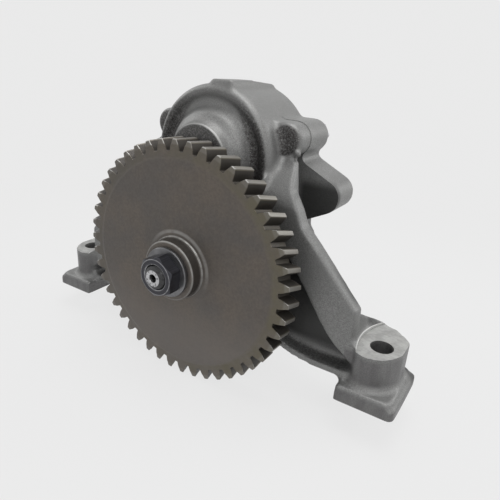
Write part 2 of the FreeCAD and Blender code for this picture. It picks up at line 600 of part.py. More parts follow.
def rear_housing():
    """The rear casting: gear chamber, ports, pipe flange lobes and rear bearing bosses."""
    barrel = disc("HousingBarrel", "barrel_radius", "joint_back", HOUSING_BACK, z=DRIVEN_Z)
    ear = disc("HousingEar", "ear_radius + 0.3", "joint_back", HOUSING_BACK, "ear_across", EAR_Z)
    ear_arm = prism("HousingEarArm", [
        ("ear_across", "%s + ear_radius + 0.3" % EAR_Z),
        ("ear_across - 18", "%s + ear_radius + 0.3" % EAR_Z),
        ("ear_across - 20", EAR_Z),
        ("ear_across", "%s - ear_radius" % EAR_Z),
    ], "joint_back", HOUSING_BACK)
    lobe_z = "(axis_rise + lobe_rise)"
    lobe = disc("Lobe", "lobe_radius", "joint_back", HOUSING_BACK, "lobe_across", lobe_z)
    lobe_arm = prism("LobeArm", [
        ("lobe_across + lobe_radius * 0.46", "%s + lobe_radius * 0.888" % lobe_z),
        ("ear_across + 3", "%s - 11.4" % EAR_Z),
        ("ear_across - 20", "%s - 11.4" % EAR_Z),
        ("side_bolt_across", "axis_rise + 22"),
        ("port_across + 5", "%s - 7.4" % MESH_Z),
        ("lobe_across + lobe_radius * 0.46", "%s - lobe_radius * 0.888" % lobe_z),
    ], "joint_back", HOUSING_BACK)
    flange_ear = disc("FlangeEar", "low_ear_radius", "joint_back", HOUSING_BACK,
                      "flange_across", "axis_rise + flange_rise")
    solids = both_castings("Housing", "joint_back", HOUSING_BACK)
    solids += [barrel, top_pad("HousingPad", "joint_back", HOUSING_BACK, "pad_fall")]
    for part in (ear, ear_arm, lobe, lobe_arm, flange_ear):
        solids += both_sides(part)
    solids += [
        disc("DriveRearBoss", "journal_radius + drive_bush_wall + bearing_boss_wall", HOUSING_BACK,
             BOSS_END, z="axis_rise"),
        disc("DrivenRearBoss", "driven_radius + driven_bush_wall + bearing_boss_wall", HOUSING_BACK,
             BOSS_END, z=DRIVEN_Z),
    ]
    raw = fuse("HousingRaw", solids)
    holes = [
        disc("DriveChamber", CHAMBER_RADIUS, "joint_back", CHAMBER_BACK, z="axis_rise"),
        disc("DrivenChamber", CHAMBER_RADIUS, "joint_back", CHAMBER_BACK, z=DRIVEN_Z),
        disc("DriveRearHole", "journal_radius + drive_bush_wall", "joint_back", BOSS_END,
             z="axis_rise"),
        disc("DrivenRearHole", "driven_radius + driven_bush_wall", "joint_back", BOSS_END,
             z=DRIVEN_Z),
    ]
    for side, sign, radius in (("Discharge", 1, "discharge_radius"), ("Suction", -1, "suction_radius")):
        centre = "%d * port_across" % sign
        holes.append(disc(side + "Port", radius, "joint_back + pocket_depth - 1", HOUSING_BACK,
                          centre, PORT_Z))
        reach = sorted(("%d * port_across" % sign, "%d * 10" % sign), key=number)
        holes.append(box(side + "Pocket", *reach, "joint_back", "joint_back + pocket_depth",
                         "%s - pocket_height / 2" % MESH_Z, "%s + pocket_height / 2" % MESH_Z))
        holes.append(disc(side + "PocketEnd", "pocket_height / 2", "joint_back",
                          "joint_back + pocket_depth", centre, MESH_Z))
    for name, across, up in BOLT_PLACES:
        holes += both_sides(disc("Hole" + name, "bolt_radius + bolt_clear", "joint_back",
                                 HOUSING_BACK, across, up))
    for name, across, up in (("LobeThread", "lobe_across", lobe_z),
                             ("FlangeThread", "flange_across", "axis_rise + flange_rise")):
        holes += both_sides(disc(name, "flange_thread", HOUSING_BACK + " - flange_thread_depth",
                                 HOUSING_BACK, across, up))
    holes += both_sides(disc("HousingDowelHole", "dowel_radius", "joint_back",
                             "joint_back + dowel_length / 2", *DOWEL_PLACE))
    return named(cut("RearHousing", raw, holes), "rear_housing")


def bush(label, radius, wall, front, back, z):
    body = turned(label.title().replace("_", ""), [
        ("%s + running_clear" % radius, front),
        ("%s + %s" % (radius, wall), front),
        ("%s + %s" % (radius, wall), back),
        ("%s + running_clear" % radius, back),
    ], z=z)
    return named(body, label)


def bushes():
    bush("drive_bush_front", "journal_radius", "drive_bush_wall", "-boss_front", "joint_back",
         "axis_rise")
    bush("drive_bush_rear", "journal_radius", "drive_bush_wall", CHAMBER_BACK,
         BOSS_END + " - cap_height", "axis_rise")
    bush("driven_bush_front", "driven_radius", "driven_bush_wall", "-boss_front + 4", "joint_back",
         DRIVEN_Z)
    bush("driven_bush_rear", "driven_radius", "driven_bush_wall", CHAMBER_BACK,
         BOSS_END + " - cap_height", DRIVEN_Z)


def bore_cap(label, radius, z):
    """A pressed sheet cap that closes a rear bearing bore."""
    body = turned(label.title().replace("_", ""), [
        ("0", BOSS_END + " - cap_thickness"),
        ("%s - cap_thickness" % radius, BOSS_END + " - cap_thickness"),
        ("%s - cap_thickness" % radius, BOSS_END + " - cap_height"),
        (radius, BOSS_END + " - cap_height"),
        (radius, BOSS_END),
        ("0", BOSS_END),
    ], z=z)
    return named(body, label)


def drive_shaft():
    """The stepped drive shaft with its threaded front end and two key seats."""
    front = "(%s - shaft_proud)" % NUT_FRONT
    blank = turned("DriveBlank", [
        ("0", front),
        ("thread_radius - 1.4", front),
        ("thread_radius", front + " + 1.4"),
        ("thread_radius", HUB_FRONT + " + 1"),
        (SEAT_RADIUS, HUB_FRONT + " + 1"),
        (SEAT_RADIUS, HUB_BACK),
        ("journal_radius", HUB_BACK),
        ("journal_radius", BOSS_END + " - cap_height - 2.5"),
        ("journal_radius - 1.5", BOSS_END + " - cap_height - 1"),
        ("0", BOSS_END + " - cap_height - 1"),
    ], z="axis_rise")
    centre = turned("DriveCentre", [
        ("0", front + " - 0.1"),
        ("centre_radius", front + " - 0.1"),
        ("centre_radius * 0.45", front + " + 2.6"),
        ("centre_radius * 0.45", front + " + 5"),
        ("0", front + " + 5.6"),
    ], z="axis_rise")
    seats = []
    for name, radius, start, end in (
            ("GearKeySeat", SEAT_RADIUS, HUB_FRONT + " + 3", HUB_BACK + " - 3"),
            ("RotorKeySeat", "journal_radius", "joint_back + 3", CHAMBER_BACK + " - 3")):
        seats.append(box(name, "-key_width / 2", "key_width / 2", start, end,
                         "axis_rise + %s - key_height / 2" % radius, "axis_rise + %s + 3" % radius))
    return named(cut("DriveShaft", blank, [centre] + seats), "drive_shaft")


def key(label, radius, start, end):
    body = box(label.title().replace("_", ""), "-key_width / 2", "key_width / 2", start, end,
               "axis_rise + %s - key_height / 2" % radius, "axis_rise + %s + key_height / 2" % radius)
    return named(body, label)


def driven_shaft():
    body = turned("DrivenShaft", [
        ("0", "-boss_front + 5"),
        ("driven_radius - 1.5", "-boss_front + 5"),
        ("driven_radius", "-boss_front + 6.5"),
        ("driven_radius", BOSS_END + " - cap_height - 2.5"),
        ("driven_radius - 1.5", BOSS_END + " - cap_height - 1"),
        ("0", BOSS_END + " - cap_height - 1"),
    ], z=DRIVEN_Z)
    return named(body, "driven_shaft")


def involute(angle):
    return math.tan(angle) - angle


def tooth_edges(teeth, pitch, pressure, root, tip, backlash, start, height):
    """The closed outline of a spur gear in a plane across its axis.

    Each tooth has a root arc, an involute flank, a tip land and the other flank. Below the base
    circle a flank goes on as a straight radial line. Angles run from +X to +Z."""
    base = pitch * math.cos(pressure)
    foot = max(root, base)
    radii = [foot + (tip - foot) * (i / 4) ** 1.3 for i in range(5)]
    half = math.pi / (2 * teeth) - backlash / (2 * pitch) + involute(pressure)

    def at(radius, angle):
        return Vector(radius * math.cos(angle), height, radius * math.sin(angle))

    def half_angle(radius):
        return half - involute(math.acos(min(1.0, base / radius)))

    edges = []
    for tooth in range(teeth):
        middle = start + 2 * math.pi * tooth / teeth
        rising = [at(r, middle - half_angle(r)) for r in radii]
        falling = [at(r, middle + half_angle(r)) for r in reversed(radii)]
        before = middle - 2 * math.pi / teeth + half_angle(foot)
        after = middle - half_angle(foot)
        ends = at(root, before), at(root, (before + after) / 2), at(root, after)
        edges.append(Part.Arc(*ends).toShape())
        if root < foot:
            edges.append(Part.makeLine(ends[2], rising[0]))
        for points, is_rising in ((rising, True), (falling, False)):
            curve = Part.BSplineCurve()
            curve.interpolate(points)
            edges.append(curve.toShape())
            if is_rising:
                edges.append(Part.Arc(rising[-1], at(tip, middle), falling[0]).toShape())
        if root < foot:
            edges.append(Part.makeLine(falling[-1], at(root, middle + half_angle(foot))))
    return edges


def helical_teeth():
    """The toothed rim of the helical gear, turned about its own axis between its two faces."""
    teeth = int(number("gear_teeth"))
    helix = math.radians(number("gear_helix"))
    module = number("gear_module") / math.cos(helix)
    pressure = math.atan(math.tan(math.radians(number("gear_pressure"))) / math.cos(helix))
    pitch = module * teeth / 2
    tip, root = pitch + number("gear_module"), pitch - 1.25 * number("gear_module")
    face = number("gear_face")
    start = math.pi + math.radians(number("gear_turn"))
    wires = []
    for height, turn in ((0, 0), (face, -face * math.tan(helix) / pitch)):
        edges = tooth_edges(teeth, pitch, pressure, root, tip, 0.1, start + turn, height)
        wires.append(Part.Wire(edges))
    rim = doc.addObject("Part::Feature", "HelicalTeeth")
    rim.Shape = Part.makeLoft(wires, True, True)
    place(rim, y=GEAR_FRONT, z="axis_rise")
    return rim, tip, root


def drive_gear():
    """The helical gear: toothed rim, raised web, hub and keyway."""
    teeth, tip, root = helical_teeth()
    envelope = turned("GearEnvelope", [
        ("0", GEAR_FRONT),
        ("%g - gear_tip_bevel" % tip, GEAR_FRONT),
        ("%g + 0.01" % tip, GEAR_FRONT + " + gear_tip_bevel"),
        ("%g + 0.01" % tip, GEAR_BACK + " - gear_tip_bevel"),
        ("%g - gear_tip_bevel" % tip, GEAR_BACK),
        ("0", GEAR_BACK),
    ], z="axis_rise")
    rim = common("GearRim", [teeth, envelope])
    hub = turned("GearHub", [
        ("0", HUB_FRONT),
        ("hub_radius - hub_bevel", HUB_FRONT),
        ("hub_radius - 0.3", HUB_FRONT + " + hub_bevel * 0.6"),
        ("hub_radius", GEAR_FRONT + " - 1.8"),
        ("hub_radius + 1", GEAR_FRONT + " - 1.8"),
        ("hub_radius + 1.2", GEAR_FRONT + " - 1.1"),
        ("hub_foot - 1.5", GEAR_FRONT + " - web_rise - 0.7"),
        ("hub_foot + 0.8", GEAR_FRONT + " - web_rise"),
        ("web_radius", GEAR_FRONT + " - web_rise"),
        ("web_radius + 2", GEAR_FRONT),
        ("web_radius + 2", GEAR_BACK),
        ("drive_boss_radius", GEAR_BACK),
        ("drive_boss_radius - 3", HUB_BACK),
        ("0", HUB_BACK),
    ], z="axis_rise")
    whole = fuse("GearWhole", [rim, hub])
    bore = disc("GearBore", SEAT_RADIUS, HUB_FRONT + " - 1", HUB_BACK + " + 1", z="axis_rise")
    keyway = box("GearKeyway", "-key_width / 2", "key_width / 2", HUB_FRONT + " - 1",
                 HUB_BACK + " + 1", "axis_rise",
                 "axis_rise + %s + key_height / 2 + key_slack" % SEAT_RADIUS)
    return named(cut("DriveGear", whole, [bore, keyway]), "drive_gear")


def rotor(label, shaft_radius, start, z, keyed):
    """A pump gear; at rest the two are in mesh."""
    teeth = int(number("rotor_teeth"))
    pitch = number("shaft_spacing / 2")
    tip, module = number(ROTOR_TIP), 2 * pitch / teeth
    edges = tooth_edges(teeth, pitch, math.radians(number("rotor_pressure")), pitch - 1.2 * module,
                        tip, number("rotor_backlash"), start, 0)
    width = number("chamber_depth - 2 * rotor_side_clear")
    name = label.title().replace("_", "")
    blank = doc.addObject("Part::Feature", name + "Blank")
    blank.Shape = Part.Face(Part.Wire(edges)).extrude(Vector(0, width, 0))
    place(blank, y="joint_back + rotor_side_clear", z=z)
    tools = [disc(name + "Bore", shaft_radius, "joint_back", CHAMBER_BACK, z=z)]
    if keyed:
        tools.append(box(name + "Keyway", "-key_width / 2", "key_width / 2", "joint_back",
                         CHAMBER_BACK, z, "%s + %s + key_height / 2 + key_slack" % (z, shaft_radius)))
    return named(cut(name, blank, tools), label)


def gear_washer():
    body = turned("GearWasher", [
        ("thread_radius + 0.4", WASHER_FRONT),
        ("washer_radius - 0.5", WASHER_FRONT),
        ("washer_radius", WASHER_FRONT + " + 0.5"),
        ("washer_radius", HUB_FRONT),
        ("thread_radius + 0.4", HUB_FRONT),
    ], z="axis_rise")
    return named(body, "gear_washer")


def hex_piece(name, flats, height, hole, front, x, z, turn=0):
    """A hexagon along Y with turned corners, and a hole unless its radius is 0."""
    prism_part = hexagon(name + "Prism", flats, height, 0, x, front, z)
    prism_part.Placement.Rotation = (FreeCAD.Rotation(Vector(0, 1, 0), turn)
                                     * FreeCAD.Rotation(Vector(1, 0, 0), -90))
    corners = [
        (hole, front),
        ("(%s) * 0.48" % flats, front),
        ("(%s) * 0.59" % flats, "%s + (%s) * 0.06" % (front, flats)),
        ("(%s) * 0.59" % flats, "%s + (%s)" % (front, height)),
        (hole, "%s + (%s)" % (front, height)),
    ]
    return common(name, [prism_part, turned(name + "Turned", corners, x, z)])


def gear_nut():
    body = hex_piece("GearNut", "nut_flats", "nut_height", "thread_radius", NUT_FRONT, "0",
                     "axis_rise", 8)
    return named(body, "gear_nut")


def cover_bolts():
    """The bolts of the joint, which come from the rear, and their washers."""
    bolts, washers = [], []
    seat = HOUSING_BACK
    for name, across, up in BOLT_PLACES:
        shank = disc("Shank" + name, "bolt_radius", "joint_back - bolt_grip + 1",
                     seat + " + bolt_washer + 1", across, up)
        head_front = "(%s + bolt_washer)" % seat
        head = hexagon("Head" + name, "bolt_flats", "bolt_head", 0, across, head_front, up)
        head.Placement.Rotation = FreeCAD.Rotation(Vector(1, 0, 0), -90)
        turned_head = turned("Dome" + name, [
            ("0", head_front),
            ("bolt_flats * 0.59", head_front),
            ("bolt_flats * 0.59", head_front + " + bolt_head - bolt_flats * 0.06"),
            ("bolt_flats * 0.48", head_front + " + bolt_head"),
            ("0", head_front + " + bolt_head"),
        ], across, up)
        bolts += both_sides(fuse("Bolt" + name, [shank, common("Cap" + name, [head, turned_head])]))
        washers += both_sides(turned("Washer" + name, [
            ("bolt_radius + 0.2", seat),
            ("bolt_washer_radius", seat),
            ("bolt_washer_radius", seat + " + bolt_washer"),
            ("bolt_radius + 0.2", seat + " + bolt_washer"),
        ], across, up))
    named(group("CoverBolts", bolts), "cover_bolts")
    named(group("CoverWashers", washers), "cover_washers")


def dowel_pins():
    pin = turned("Dowel", [
        ("0", "joint_back - dowel_length / 2"),
        ("dowel_radius - 0.6", "joint_back - dowel_length / 2"),
        ("dowel_radius", "joint_back - dowel_length / 2 + 0.6"),
        ("dowel_radius", "joint_back + dowel_length / 2 - 0.6"),
        ("dowel_radius - 0.6", "joint_back + dowel_length / 2"),
        ("0", "joint_back + dowel_length / 2"),
    ], *DOWEL_PLACE)
    return named(group("DowelPins", both_sides(pin)), "dowel_pins")


def relief_valve():
    """The piston on its seat, the spring behind it and the plug that holds the spring."""
    tail = "(valve_seat_across - piston_length)"
    skirt = rod("PistonSkirt", "valve_radius - valve_clear", tail, "valve_seat_across",
                "valve_back", MESH_Z)
    hollow = rod("PistonHollow", "valve_radius - valve_clear - piston_wall", tail + " - 1",
                 "valve_seat_across - piston_wall * 2", "valve_back", MESH_Z)
    named(cut("ReliefPiston", skirt, [hollow]), "relief_piston")

    grip_end = "(-plug_face_across + plug_grip)"
    thread = rod("PlugThread", "plug_radius", "-plug_face_across - seal_thickness", grip_end,
                 "valve_back", MESH_Z)
    head = hexagon("PlugHead", "plug_flats", "plug_head", 0,
                   "-plug_face_across - seal_thickness - plug_head", "valve_back", MESH_Z)
    head.Placement.Rotation = FreeCAD.Rotation(Vector(0, 1, 0), 90)
    named(fuse("ReliefPlug", [thread, head]), "relief_plug")

    ring = rod("SealRing", "plug_radius + 2.2", "-plug_face_across - seal_thickness",
               "-plug_face_across", "valve_back", MESH_Z)
    ring_hole = rod("SealHole", "plug_radius", "-plug_face_across - seal_thickness - 1",
                    "-plug_face_across + 1", "valve_back", MESH_Z)
    named(cut("ReliefSeal", ring, [ring_hole]), "relief_seal")

    helix = doc.addObject("Part::Helix", "SpringPath")
    first = "(%s + spring_wire)" % grip_end
    last = "(valve_seat_across - piston_wall * 2 - spring_wire)"
    bind(helix, Radius="spring_radius", Height="%s - %s" % (last, first),
         Pitch="(%s - %s) / spring_turns" % (last, first))
    wire = doc.addObject("Part::RegularPolygon", "SpringWire")
    wire.Polygon = 6
    bind(wire, Circumradius="spring_wire")
    wire.Placement.Rotation = FreeCAD.Rotation(Vector(1, 0, 0), 90)
    place(wire, x="spring_radius")
    coil = doc.addObject("Part::Sweep", "ReliefSpring")
    coil.Sections = [wire]
    coil.Spine = helix
    coil.Solid = True
    coil.Frenet = True
    coil.Placement.Rotation = FreeCAD.Rotation(Vector(0, 1, 0), 90)
    place(coil, first, "valve_back", MESH_Z)
    named(coil, "relief_spring")


def build():
    pump_body()
    rear_housing()
    bushes()
    bore_cap("drive_bore_cap", "journal_radius + drive_bush_wall", "axis_rise")
    bore_cap("driven_bore_cap", "driven_radius + driven_bush_wall", DRIVEN_Z)
    drive_shaft()
    key("gear_key", SEAT_RADIUS, HUB_FRONT + " + 3", HUB_BACK + " - 3")
    key("rotor_key", "journal_radius", "joint_back + 3", CHAMBER_BACK + " - 3")
    driven_shaft()
    drive_gear()
    half_pitch = math.pi / int(number("rotor_teeth"))
    rotor("pump_driving_gear", "journal_radius", math.pi / 2, "axis_rise", True)
    rotor("pump_driven_gear", "driven_radius", -math.pi / 2 + half_pitch, DRIVEN_Z, False)
    gear_washer()
    gear_nut()
    cover_bolts()
    dowel_pins()
    relief_valve()


NODES = [
    "pump_body", "rear_housing", "drive_bush_front", "drive_bush_rear", "driven_bush_front",
    "driven_bush_rear", "drive_bore_cap", "driven_bore_cap", "drive_shaft", "gear_key", "rotor_key",
    "driven_shaft", "drive_gear", "pump_driving_gear", "pump_driven_gear", "gear_washer", "gear_nut",
    "cover_bolts", "cover_washers", "dowel_pins", "relief_piston", "relief_plug", "relief_seal",
    "relief_spring",
]


def check_and_write():
    """Stops on a failed object, then writes each piece to its own file."""
    doc.recompute()
    for thing in doc.Objects:
        if "Invalid" in thing.State or "Error" in thing.State:
            raise RuntimeError("%s failed: %s" % (thing.Name, thing.State))
    os.makedirs("parts", exist_ok=True)
    for label in NODES:
        thing = doc.getObjectsByLabel(label)[0]
        shape = thing.Shape
        if shape.isNull() or not shape.isValid():
            raise RuntimeError("%s has no valid shape" % label)
        shape.exportStep("parts/%s.step" % label)
        size = shape.BoundBox
        print("%-20s %3d faces %9.0f mm3  x %.1f..%.1f y %.1f..%.1f z %.1f..%.1f" % (
            label, len(shape.Faces), shape.Volume, size.XMin, size.XMax, size.YMin, size.YMax,
            size.ZMin, size.ZMax))


build()
check_and_write()
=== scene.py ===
"""Gear oil pump on a two-footed bridge bracket, dressed over its CAD frame."""
import json
import math

import bmesh
import bpy
import numpy as np
from bpy.props import FloatProperty, FloatVectorProperty, IntProperty, PointerProperty
from mathutils import Matrix, Vector


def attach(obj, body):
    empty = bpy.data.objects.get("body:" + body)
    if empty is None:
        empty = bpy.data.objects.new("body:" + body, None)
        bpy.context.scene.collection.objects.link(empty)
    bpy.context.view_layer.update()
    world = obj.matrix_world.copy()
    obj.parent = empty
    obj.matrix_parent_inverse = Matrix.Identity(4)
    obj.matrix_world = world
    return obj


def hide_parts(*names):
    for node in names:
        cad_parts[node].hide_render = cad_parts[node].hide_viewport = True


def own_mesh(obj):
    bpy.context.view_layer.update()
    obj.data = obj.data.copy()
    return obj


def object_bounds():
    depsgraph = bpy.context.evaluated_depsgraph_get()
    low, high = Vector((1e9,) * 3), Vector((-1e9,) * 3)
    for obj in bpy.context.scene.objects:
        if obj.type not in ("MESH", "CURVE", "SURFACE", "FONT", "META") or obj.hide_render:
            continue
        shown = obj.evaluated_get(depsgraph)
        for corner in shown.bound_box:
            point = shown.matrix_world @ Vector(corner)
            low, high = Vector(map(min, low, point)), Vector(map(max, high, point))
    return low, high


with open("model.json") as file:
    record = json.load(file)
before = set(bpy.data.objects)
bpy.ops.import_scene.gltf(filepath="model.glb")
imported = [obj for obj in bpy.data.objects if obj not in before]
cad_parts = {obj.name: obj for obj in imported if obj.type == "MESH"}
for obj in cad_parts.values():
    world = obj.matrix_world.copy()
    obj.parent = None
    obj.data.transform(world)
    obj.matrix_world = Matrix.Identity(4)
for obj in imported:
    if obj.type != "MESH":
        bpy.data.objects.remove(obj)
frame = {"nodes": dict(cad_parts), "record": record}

bl_info = {
    "name": "Gear oil pump",
    "version": (1, 0, 0),
    "blender": (4, 5, 0),
    "location": "View3D > Sidebar > Oil pump",
    "description": "Castings, helical gear, fixings and studio of a gear oil pump",
    "category": "Object",
}

CAD_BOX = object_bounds()

# Places and sizes that the CAD fixes, in metres. An axis along Y is given as (x, z).
DRIVE_AXIS = (0.0, 0.056)
DRIVEN_AXIS = (0.0, 0.118)
EAR_AXIS = (0.043, 0.1316)
VALVE_AXIS = (0.009, 0.087)
DRIVE_BORE, DRIVEN_BORE, VALVE_BORE, FOOT_BORE = 0.015, 0.013, 0.0065, 0.0065
BARREL = 0.041
BOSS_FRONT = -0.0184
JOINT = 0.0195
CHAMBER, CHAMBER_BACK = 0.0362666667, 0.0385
REAR_END = 0.0558
FOOT_X, FOOT_TOP, FOOT_START = 0.1173, 0.0293, 0.1
ARC_X, ARC_Y, ARC_RADIUS = 0.1548, 0.002, 0.05
NUT_FRONT, SHAFT_FRONT = -0.0539, -0.0557
EVERYWHERE = ((-1, -1, -1), (1, 1, 1))


# Settings of the add-on.


class CastingSettings(bpy.types.PropertyGroup):
    grid: FloatProperty(name="Grid", description="Size of the faces of the cast skin",
                        default=0.0009, unit="LENGTH")
    softness: IntProperty(name="Softness", description="Smoothing passes over the cast skin",
                          default=3, min=0)
    fillet: FloatProperty(name="Fillet", description="Radius of the inner corners",
                          default=0.0024, unit="LENGTH")
    stock: FloatProperty(name="Machining stock", description="Metal that machining takes off",
                         default=0.0022, unit="LENGTH")
    colour: FloatVectorProperty(name="Cast skin", description="Colour of the cast skin",
                                subtype="COLOR", default=(0.180, 0.180, 0.176))
    milled: FloatVectorProperty(name="Milled", description="Colour of the milled faces",
                                subtype="COLOR", default=(0.36, 0.36, 0.35))
    grain: FloatProperty(name="Grain", description="Depth of the sand grain",
                         default=0.00012, unit="LENGTH")


class GearSettings(bpy.types.PropertyGroup):
    teeth: IntProperty(name="Teeth", description="Number of teeth", default=46)
    module: FloatProperty(name="Module", description="Normal module", default=0.003,
                          unit="LENGTH")
    helix: FloatProperty(name="Helix", description="Helix angle, right hand",
                         default=math.radians(15), unit="ROTATION")
    pressure: FloatProperty(name="Pressure angle", description="Normal pressure angle",
                            default=math.radians(20), unit="ROTATION")
    turn: FloatProperty(name="Turn", description="Turn of the tooth pattern at rest",
                        default=math.radians(-9.454), unit="ROTATION")
    front: FloatProperty(name="Front", description="Front face of the teeth",
                         default=-0.0341, unit="LENGTH")
    width: FloatProperty(name="Width", description="Face width", default=0.014, unit="LENGTH")
    bevel: FloatProperty(name="Bevel", description="Bevel of the teeth at both faces",
                         default=0.0010, unit="LENGTH")
    colour: FloatVectorProperty(name="Steel", description="Colour of the oiled gear steel",
                                subtype="COLOR", default=(0.108, 0.098, 0.090))
    # Also the colour of the painted glints on the bevels and the painted highlights on the hub's
    # edges.
    bright: FloatVectorProperty(name="Teeth", description="Colour of the worn teeth",
                                subtype="COLOR", default=(0.36, 0.355, 0.34))


class FixingSettings(bpy.types.PropertyGroup):
    nut_flats: FloatProperty(name="Nut", description="Gear nut across the flats",
                             default=0.022, unit="LENGTH")
    pitch: FloatProperty(name="Pitch", description="Thread pitch of the shaft's end",
                         default=0.0015, unit="LENGTH")
    travel: FloatProperty(name="Valve travel", description="Travel of the relief piston",
                          default=0.008, unit="LENGTH")
    blued: FloatVectorProperty(name="Blued steel", description="Colour of the gear nut",
                               subtype="COLOR", default=(0.036, 0.036, 0.042))
    ground: FloatVectorProperty(name="Ground steel", description="Colour of ground steel",
                                subtype="COLOR", default=(0.52, 0.52, 0.53))
    plated: FloatVectorProperty(name="Plated steel", description="Colour of bolts and washers",
                                subtype="COLOR", default=(0.33, 0.33, 0.34))
    bronze: FloatVectorProperty(name="Bronze", description="Colour of the bushes",
                                subtype="COLOR", default=(0.50, 0.31, 0.14))
    copper: FloatVectorProperty(name="Copper", description="Colour of the seal ring",
                                subtype="COLOR", default=(0.62, 0.28, 0.17))


class StageSettings(bpy.types.PropertyGroup):
    place: FloatVectorProperty(name="Camera", description="Place of the camera",
                               subtype="TRANSLATION", unit="LENGTH",
                               default=(0.163756, -0.224401, 0.168100))
    lens: FloatProperty(name="Lens", description="Focal length on a 36 mm sensor, in mm",
                        default=32.9)
    floor: FloatVectorProperty(name="Floor", description="Colour of floor and backdrop",
                               subtype="COLOR", default=(0.82, 0.82, 0.82))
    lamp: FloatProperty(name="Lamps", description="Strength of the softboxes",
                        default=1.0, min=0)


# Shader maths.


class Socket:
    """An output socket of a material. Arithmetic on it adds Math nodes."""

    def __init__(self, finish, output):
        self.finish = finish
        self.output = output

    def math(self, operation, *values):
        return self.finish.node("ShaderNodeMath", {"operation": operation},
                                dict(enumerate(values)))

    def __add__(self, other):
        return self.math("ADD", self, other)

    __radd__ = __add__

    def __sub__(self, other):
        return self.math("SUBTRACT", self, other)

    def __rsub__(self, other):
        return self.math("SUBTRACT", other, self)

    def __mul__(self, other):
        return self.math("MULTIPLY", self, other)

    __rmul__ = __mul__

    def __pow__(self, other):
        return self.math("POWER", self, other)

    def __abs__(self):
        return self.math("ABSOLUTE", self)

    def __lt__(self, other):
        return self.math("LESS_THAN", self, other)

    def __gt__(self, other):
        return self.math("GREATER_THAN", self, other)

    def most(self, other):
        return self.math("MAXIMUM", self, other)

    def root(self):
        return self.math("SQRT", self)

    def step(self, low, high):
        """0 below low, 1 above high, smooth between."""
        return self.finish.node("ShaderNodeMapRange", {"interpolation_type": "SMOOTHSTEP"},
                                {"Value": self, "From Min": low, "From Max": high})

    def band(self, low, full, fading, high):
        """1 between full and fading, 0 below low and above high, smooth between."""
        return self.step(low, full) * (1 - self.step(fading, high))


class Finish:
    """A procedural material on Object coordinates, with one Principled shader."""

    def __init__(self, name, roughness, metallic):
        self.material = bpy.data.materials.new(name)
        self.material.use_nodes = True
        self.tree = self.material.node_tree
        self.tree.nodes.clear()
        self.shader = self.tree.nodes.new("ShaderNodeBsdfPrincipled")
        output = self.tree.nodes.new("ShaderNodeOutputMaterial")
        self.tree.links.new(self.shader.outputs[0], output.inputs[0])
        self.place = self.node("ShaderNodeTexCoord", output="Object")
        self.set({"Roughness": roughness, "Metallic": metallic})

    def node(self, kind, settings=None, inputs=None, output=0):
        """Adds a node: its settings first, then the values or links of its sockets."""
        made = self.tree.nodes.new(kind)
        for name, value in (settings or {}).items():
            setattr(made, name, value)
        self.feed(made, inputs or {})
        return Socket(self, made.outputs[output])

    def feed(self, made, inputs):
        for name, value in inputs.items():
            if isinstance(value, Socket):
                self.tree.links.new(value.output, made.inputs[name])
            else:
                made.inputs[name].default_value = value

    def set(self, inputs):
        self.feed(self.shader, inputs)

    def axis(self, letter):
        """One of the Object coordinates, in metres."""
        return self.node("ShaderNodeSeparateXYZ", inputs={0: self.place}, output=letter)

    def facing(self, letter):
        """The surface's direction along one of the Object coordinates, from -1 to 1."""
        normal = self.node("ShaderNodeTexCoord", output="Normal")
        return self.node("ShaderNodeSeparateXYZ", inputs={0: normal}, output=letter)

    def noise(self, size, detail=3.0, roughness=0.55, stretch=(1, 1, 1)):
        """Noise whose features are about a size in metres, about 0.5 on average."""
        where = self.place
        if stretch != (1, 1, 1):
            where = self.node("ShaderNodeMapping", inputs={"Vector": self.place, "Scale": stretch})
        return self.node("ShaderNodeTexNoise", inputs={
            "Vector": where, "Scale": 1 / size, "Detail": detail, "Roughness": roughness})

    def mix(self, factor, first, second):
        """One colour turning into another as the factor goes from 0 to 1."""
        sides = [side if isinstance(side, Socket) else (*side, 1.0) for side in (first, second)]
        return self.node("ShaderNodeMix", {"data_type": "RGBA"},
                         {0: factor, 6: sides[0], 7: sides[1]}, output=2)

    def bump(self, height, distance):
        """Height from 0 to 1 as a relief of a depth in metres."""
        self.set({"Normal": self.node("ShaderNodeBump",
                                      inputs={"Height": height, "Distance": distance})})


def ring_distance(finish, axis):
    """Distance of a point from an axis along Y through (x, z)."""
    across = finish.axis("X") - axis[0]
    up = finish.axis("Z") - axis[1]
    return (across * across + up * up).root()


def tone(colour, *factors):
    """A colour times one factor, or times one factor for each channel, at most 1."""
    factors = factors if len(factors) == 3 else factors * 3
    return tuple(min(1, channel * factor) for channel, factor in zip(colour, factors))


def turning_rings(finish, radius, density):
    """Noise along the radius, as the marks that a lathe leaves on a face."""
    return finish.node("ShaderNodeTexNoise", {"noise_dimensions": "1D"},
                       {"W": radius * density, "Scale": 1.0, "Detail": 2.0})


def hollow_shade(side, depth, level):
    """1 in the recess in front of the web, between the legs, and in the pockets behind it, where
    painted shade, with some oil, darkens the skin.
    """
    recess = depth.step(-0.0085, -0.003) * (1 - side.step(0.097, 0.106))
    recess = recess * (1 - level.step(0.055, 0.085)) * level.step(0.014, 0.022)
    pocket = (1 - depth.step(0.0205, 0.025)) * depth.step(0.010, 0.018)
    pocket = pocket * side.step(0.046, 0.052) * (1 - level.step(0.104, 0.112))
    return recess.most(pocket)


